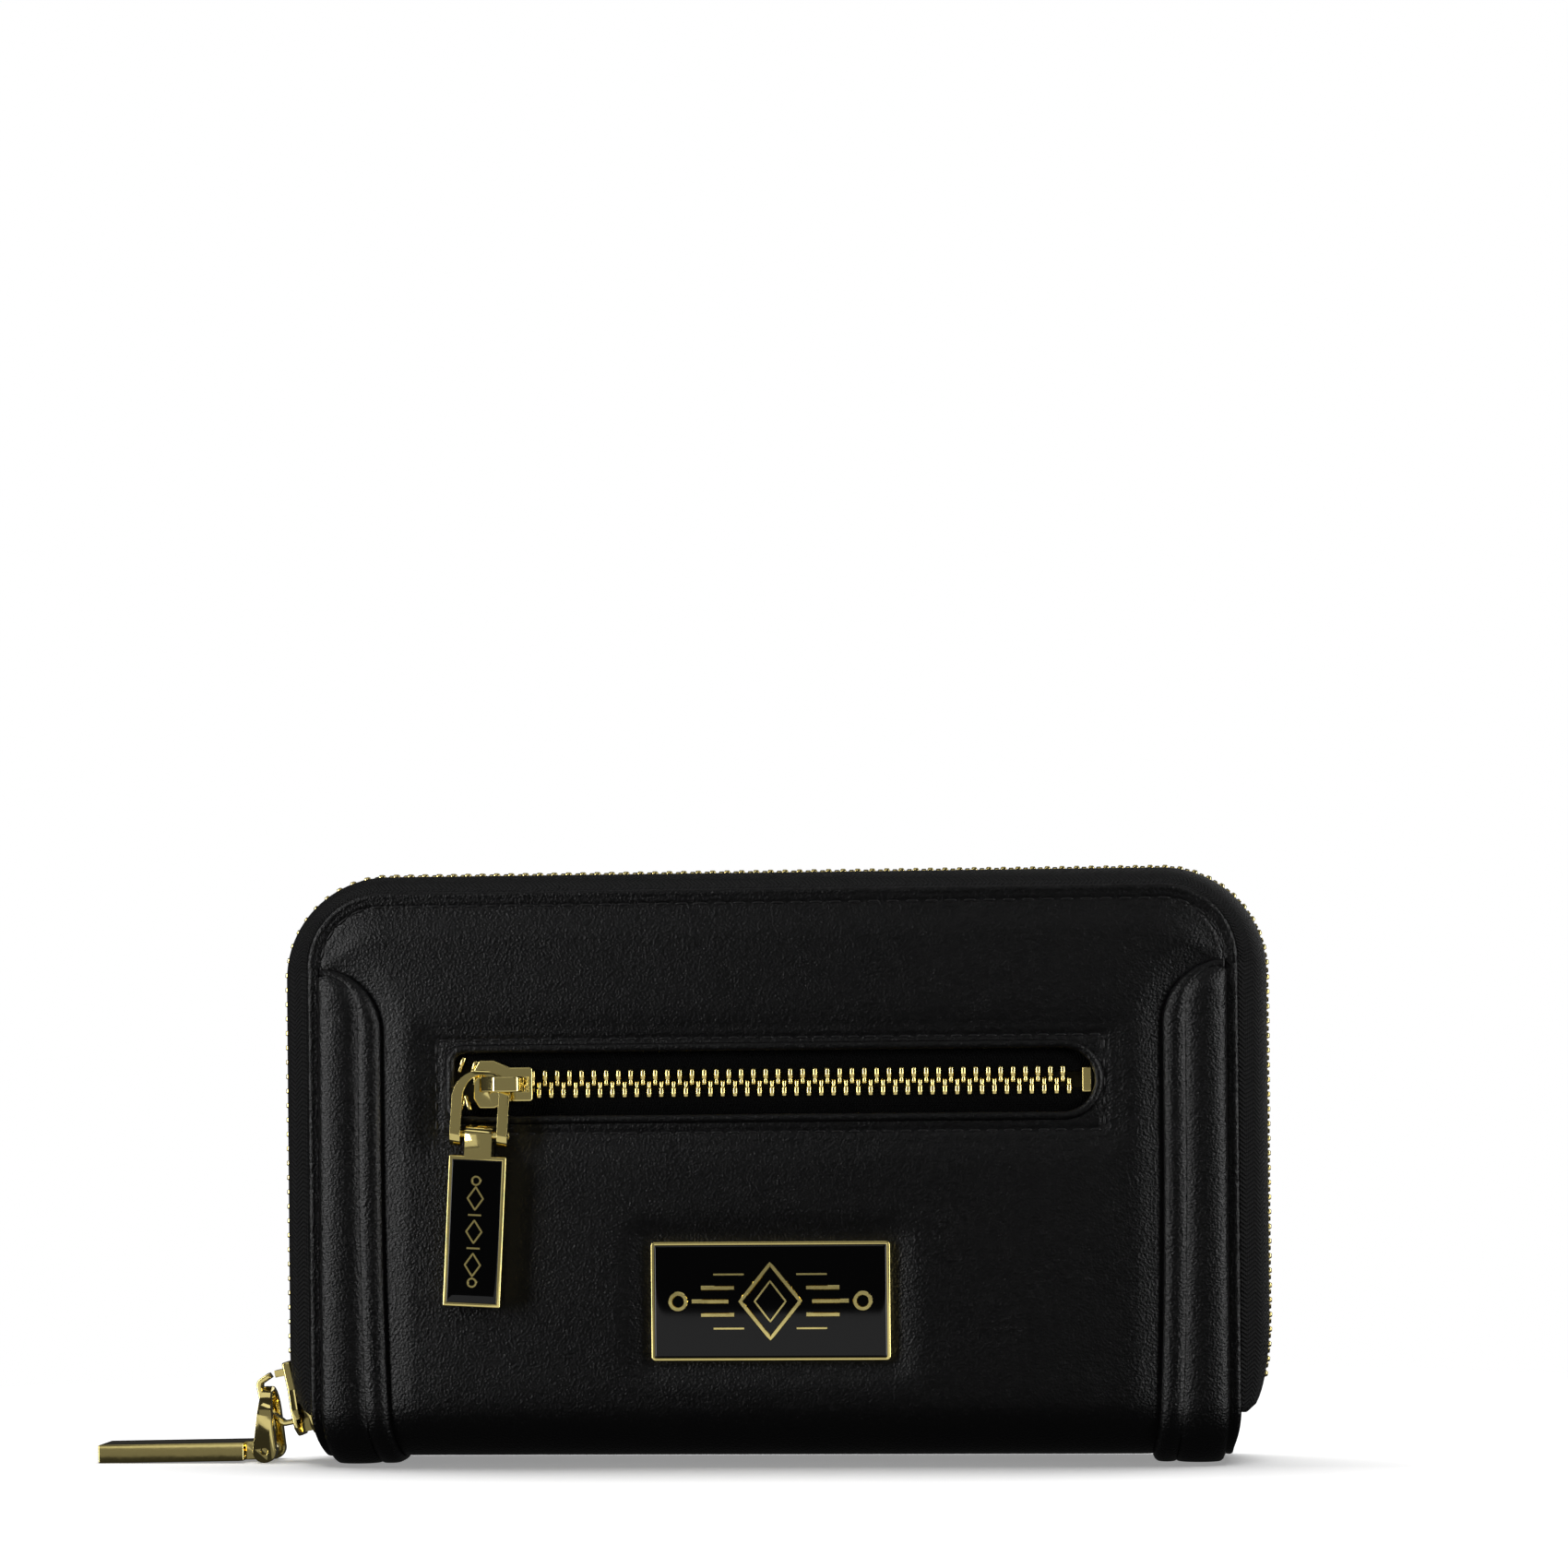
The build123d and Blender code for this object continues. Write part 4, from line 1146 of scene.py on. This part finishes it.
# Raised strokes on a plane: each line is swept with a flat-topped section and closed at its ends.
def wirePiece(name, lines, origin, axes, body, wide):
    right, up, out = axes
    high = ornament["high"]
    low = -ornament["sunk"]
    profile = np.array([[-0.5 * wide, low], [0.5 * wide, low], [0.5 * wide, 0.5 * high],
                        [0.36 * wide, high], [-0.36 * wide, high], [-0.5 * wide, 0.5 * high]])
    corners = []
    faces = []
    total = 0
    for line in lines:
        line = np.asarray(line, float)
        closed = np.allclose(line[0], line[-1])
        if closed:
            line = line[:-1]
        path = origin + line[:, :1] * right + line[:, 1:] * up
        ahead = np.roll(path, -1, 0) - np.roll(path, 1, 0) if closed else np.gradient(path, axis=0)
        tangent = unit(ahead)
        face = np.broadcast_to(out, tangent.shape)
        tube = sweep(path, np.cross(tangent, face), face, profile)
        if not closed:
            tube[0] = path[0] + (tube[0] - path[0]) * 0.1
            tube[-1] = path[-1] + (tube[-1] - path[-1]) * 0.1
        corners.append(tube.reshape(-1, 3))
        faces.append(gridFaces(*tube.shape[:2], closed, True) + total)
        total += len(corners[-1])
    piece = newPiece(name, np.concatenate(corners), np.concatenate(faces), finishes["gold"], smooth=False)
    settle(piece, body, "gold_metal")


# Strokes drawn on the face: a straight one with close steps at its ends, a lozenge and a ring.
def straightLine(x0, z0, x1, z1, count=12):
    shares = np.concatenate([[0, 0.01], np.linspace(0.1, 0.9, count - 4), [0.99, 1]])[:, None]
    return (1 - shares) * np.array([x0, z0]) + shares * np.array([x1, z1])


def lozenge(x, z, wide, high):
    tips = np.array([[x, z + high], [x + wide, z], [x, z - high], [x - wide, z], [x, z + high]])
    return evenly(tips, 49)


def ringLine(x, z, radius, count=40):
    a = np.linspace(0, 2 * math.pi, count)
    return joined(x + radius * np.cos(a), z + radius * np.sin(a))


def makeBadgeOrnament():
    face = boxOf("badge_enamel")[0][1] + enamel["badgeLift"] - enamel["badgeRise"]
    origin = np.array([0, face, badge["middle"]])
    bold = [lozenge(0, 0, *ornament["bigLozenge"])]
    fine = [lozenge(0, 0, *ornament["smallLozenge"])]
    for side in (-1, 1):
        for lines, bars in ((bold, ornament["boldBars"]), (fine, ornament["fineBars"])):
            lines += [straightLine(side * inner, z, side * outer, z, 14) for z, inner, outer in bars]
        bold.append(ringLine(side * ornament["ringAt"], 0, ornament["ringRadius"]))
    wirePiece("badgeOrnamentBold", bold, origin, upright, "front_cover", ornament["wide"])
    wirePiece("badgeOrnamentFine", fine, origin, upright, "front_cover", ornament["fine"])


def makeBarOrnament():
    low, high = boxOf("pocket_bar_enamel")
    half = ornament["dashHalf"]
    lines = [lozenge(0, z, *ornament["barLozenge"]) for z in ornament["barLozenges"]]
    lines += [straightLine(-half, z, half, z) for z in ornament["barDashes"]]
    lines += [ringLine(0, z, ornament["barRingRadius"], 24) for z in ornament["barRings"]]
    face = low[1] + enamel["barLift"] - enamel["barRise"]
    origin = np.array([(low[0] + high[0]) / 2, face, (low[2] + high[2]) / 2])
    wirePiece("pocketBarOrnament", lines, origin, leaning, "pocket_bar", ornament["fine"])


makeBadgeOrnament()
makeBarOrnament()
print("ornaments made")


# Lamps by name: power, place, aim and size, in metres.
softboxes = dict(left=(2.7, (-0.55, -0.40, 0.16), (-0.05, 0, 0.06), (0.18, 0.6)),
                 right=(2.7, (0.60, -0.36, 0.16), (0.05, 0, 0.06), (0.18, 0.6)),
                 top=(0.9, (0.0, 0.02, 0.80), (0.0, 0.0, 0.05), (1.2, 0.35)),
                 front=(0.35, (-0.20, -0.8, 0.75), (0.0, 0.0, 0.10), (0.5, 0.25)),
                 rear=(1.6, (0.45, 0.85, 0.35), (0.0, 0.0, 0.06), (0.7, 0.6)))
floorLamp = (9.3, (0.0, 0.14, 0.8), (0.0, 0.0, 0.0), (1.0, 0.30))
tableCard = (0.9, (0.0, -0.29, 0.002), (0.0, -0.29, 1.0), (1.1, 0.5))
roomCard = (0.55, (0.05, -1.2, 0.20), (0.0, 0.0, 0.06), (1.6, 0.7))
studio = dict(worldDim=0.03, floorGlow=0.28, nearRadius=0.16, farRadius=0.30)


# A rectangular lamp that lights only its own collection of pieces.
def areaLight(name, power, place, aim, size, lights):
    lamp = bpy.data.lights.new(name, "AREA")
    lamp.shape = "RECTANGLE"
    lamp.size, lamp.size_y = size
    lamp.energy = power
    thing = bpy.data.objects.new(name, lamp)
    bpy.context.scene.collection.objects.link(thing)
    place = Vector(place)
    turn = (Vector(aim) - place).to_track_quat("-Z", "Y").to_matrix().to_4x4()
    thing.matrix_world = Matrix.Translation(place) @ turn
    thing.light_linking.receiver_collection = lights
    return thing


# A collection of the pieces that some lamps are kept to.
def receivers(name, wanted):
    group = bpy.data.collections.new(name)
    for piece in bpy.context.scene.objects:
        if piece.type == "MESH" and wanted(piece):
            group.objects.link(piece)
    return group


def makeLights():
    wallet = receivers("walletOnly", lambda piece: piece.name != "floor")
    for word, lamp in softboxes.items():
        areaLight(word + "Softbox", *lamp, wallet)


# A lamp for the floor alone, behind the zenith, so that the shadow falls a little forward.
def makeFloorLight():
    only = receivers("floorOnly", lambda piece: piece.name == "floor")
    areaLight("floorSoftbox", *floorLamp, only)


# Cards that only polished pieces mirror: the white table in front of them, and the room beyond.
def makeCards():
    metals = (finishes["gold"], finishes["teeth"])
    polished = receivers("polishedOnly", lambda piece: finishOf(piece) in metals + (finishes["enamel"],))
    metal = receivers("metalOnly", lambda piece: finishOf(piece) in metals)
    for card in (areaLight("tableCard", *tableCard, polished), areaLight("roomCard", *roomCard, metal)):
        card.visible_camera = False
        card.visible_diffuse = False


# The first material of a piece, if it has one.
def finishOf(piece):
    return piece.data.materials[0] if piece.data.materials else None


# Dim surround for the object, white behind it for the camera.
def makeWorld():
    world = bpy.data.worlds.new("studio")
    bpy.context.scene.world = world
    world.use_nodes = True
    tree = world.node_tree
    tree.nodes.clear()
    out = tree.nodes.new("ShaderNodeOutputWorld")
    ray = tree.nodes.new("ShaderNodeLightPath")
    mix = tree.nodes.new("ShaderNodeMixShader")
    tree.links.new(ray.outputs["Is Camera Ray"], mix.inputs[0])
    for place, strength in ((1, studio["worldDim"]), (2, 1.0)):
        shade = tree.nodes.new("ShaderNodeBackground")
        shade.inputs[0].default_value = (1, 1, 1, 1)
        shade.inputs[1].default_value = strength
        tree.links.new(shade.outputs[0], mix.inputs[place])
    tree.links.new(mix.outputs[0], out.inputs[0])


# Floor: lit and shaded near the object, plain white farther off, and not mirrored in the gloss.
def makeFloor():
    finish = Finish("paleFloor", **{"Roughness": 0.9, "Base Color": (0.9, 0.9, 0.9, 1),
                                    "Specular IOR Level": 0.0, "Emission Color": (1, 1, 1, 1),
                                    "Emission Strength": studio["floorGlow"]})
    x, y, _ = finish.split(finish.place())
    near, far = studio["nearRadius"], studio["farRadius"]
    away = ((x * x + y * y).math("SQRT") - near) / (far - near)
    share = away.math("MAXIMUM", 0.0).math("MINIMUM", 1.0)
    glow = finish.tree.nodes.new("ShaderNodeEmission")
    blend = finish.tree.nodes.new("ShaderNodeMixShader")
    out = next(node for node in finish.tree.nodes if node.type == "OUTPUT_MATERIAL")
    finish.tree.links.new(share.out, blend.inputs[0])
    finish.tree.links.new(finish.shader.outputs[0], blend.inputs[1])
    finish.tree.links.new(glow.outputs[0], blend.inputs[2])
    finish.tree.links.new(blend.outputs[0], out.inputs[0])
    wide = 6000.0
    corners = np.array([[-wide, -wide, 0], [wide, -wide, 0], [wide, wide, 0], [-wide, wide, 0]])
    floor = newPiece("floor", corners, np.array([[0, 1, 2, 3]]), finish.material, smooth=False)
    floor.visible_diffuse = False
    floor.visible_glossy = False


view = dict(lens=94.08, shift=0.2013, place=(0.0639, -0.800, 0.0705), yaw=-4.44, roll=-0.50)


# A level camera that looks along its yaw, with a slight roll about that line.
def makeCamera():
    camera = bpy.data.cameras.new("camera")
    camera.sensor_width = 36.0
    camera.lens = view["lens"]
    camera.shift_y = view["shift"]
    camera.clip_start = 0.01
    camera.clip_end = 50.0
    thing = bpy.data.objects.new("camera", camera)
    bpy.context.scene.collection.objects.link(thing)
    yaw = math.radians(view["yaw"])
    roll = math.radians(view["roll"])
    ahead = Vector((math.sin(yaw), math.cos(yaw), 0))
    right = Vector((math.cos(yaw), -math.sin(yaw), 0))
    up = Vector((0, 0, 1))
    turnedRight = math.cos(roll) * right + math.sin(roll) * up
    turnedUp = -math.sin(roll) * right + math.cos(roll) * up
    axes = Matrix((turnedRight, turnedUp, -ahead)).transposed().to_4x4()
    thing.matrix_world = Matrix.Translation(view["place"]) @ axes
    bpy.context.scene.camera = thing
    bpy.context.scene.view_settings.view_transform = "Standard"


makeFloor()
makeLights()
makeFloorLight()
makeCards()
makeWorld()
makeCamera()
print("studio set")
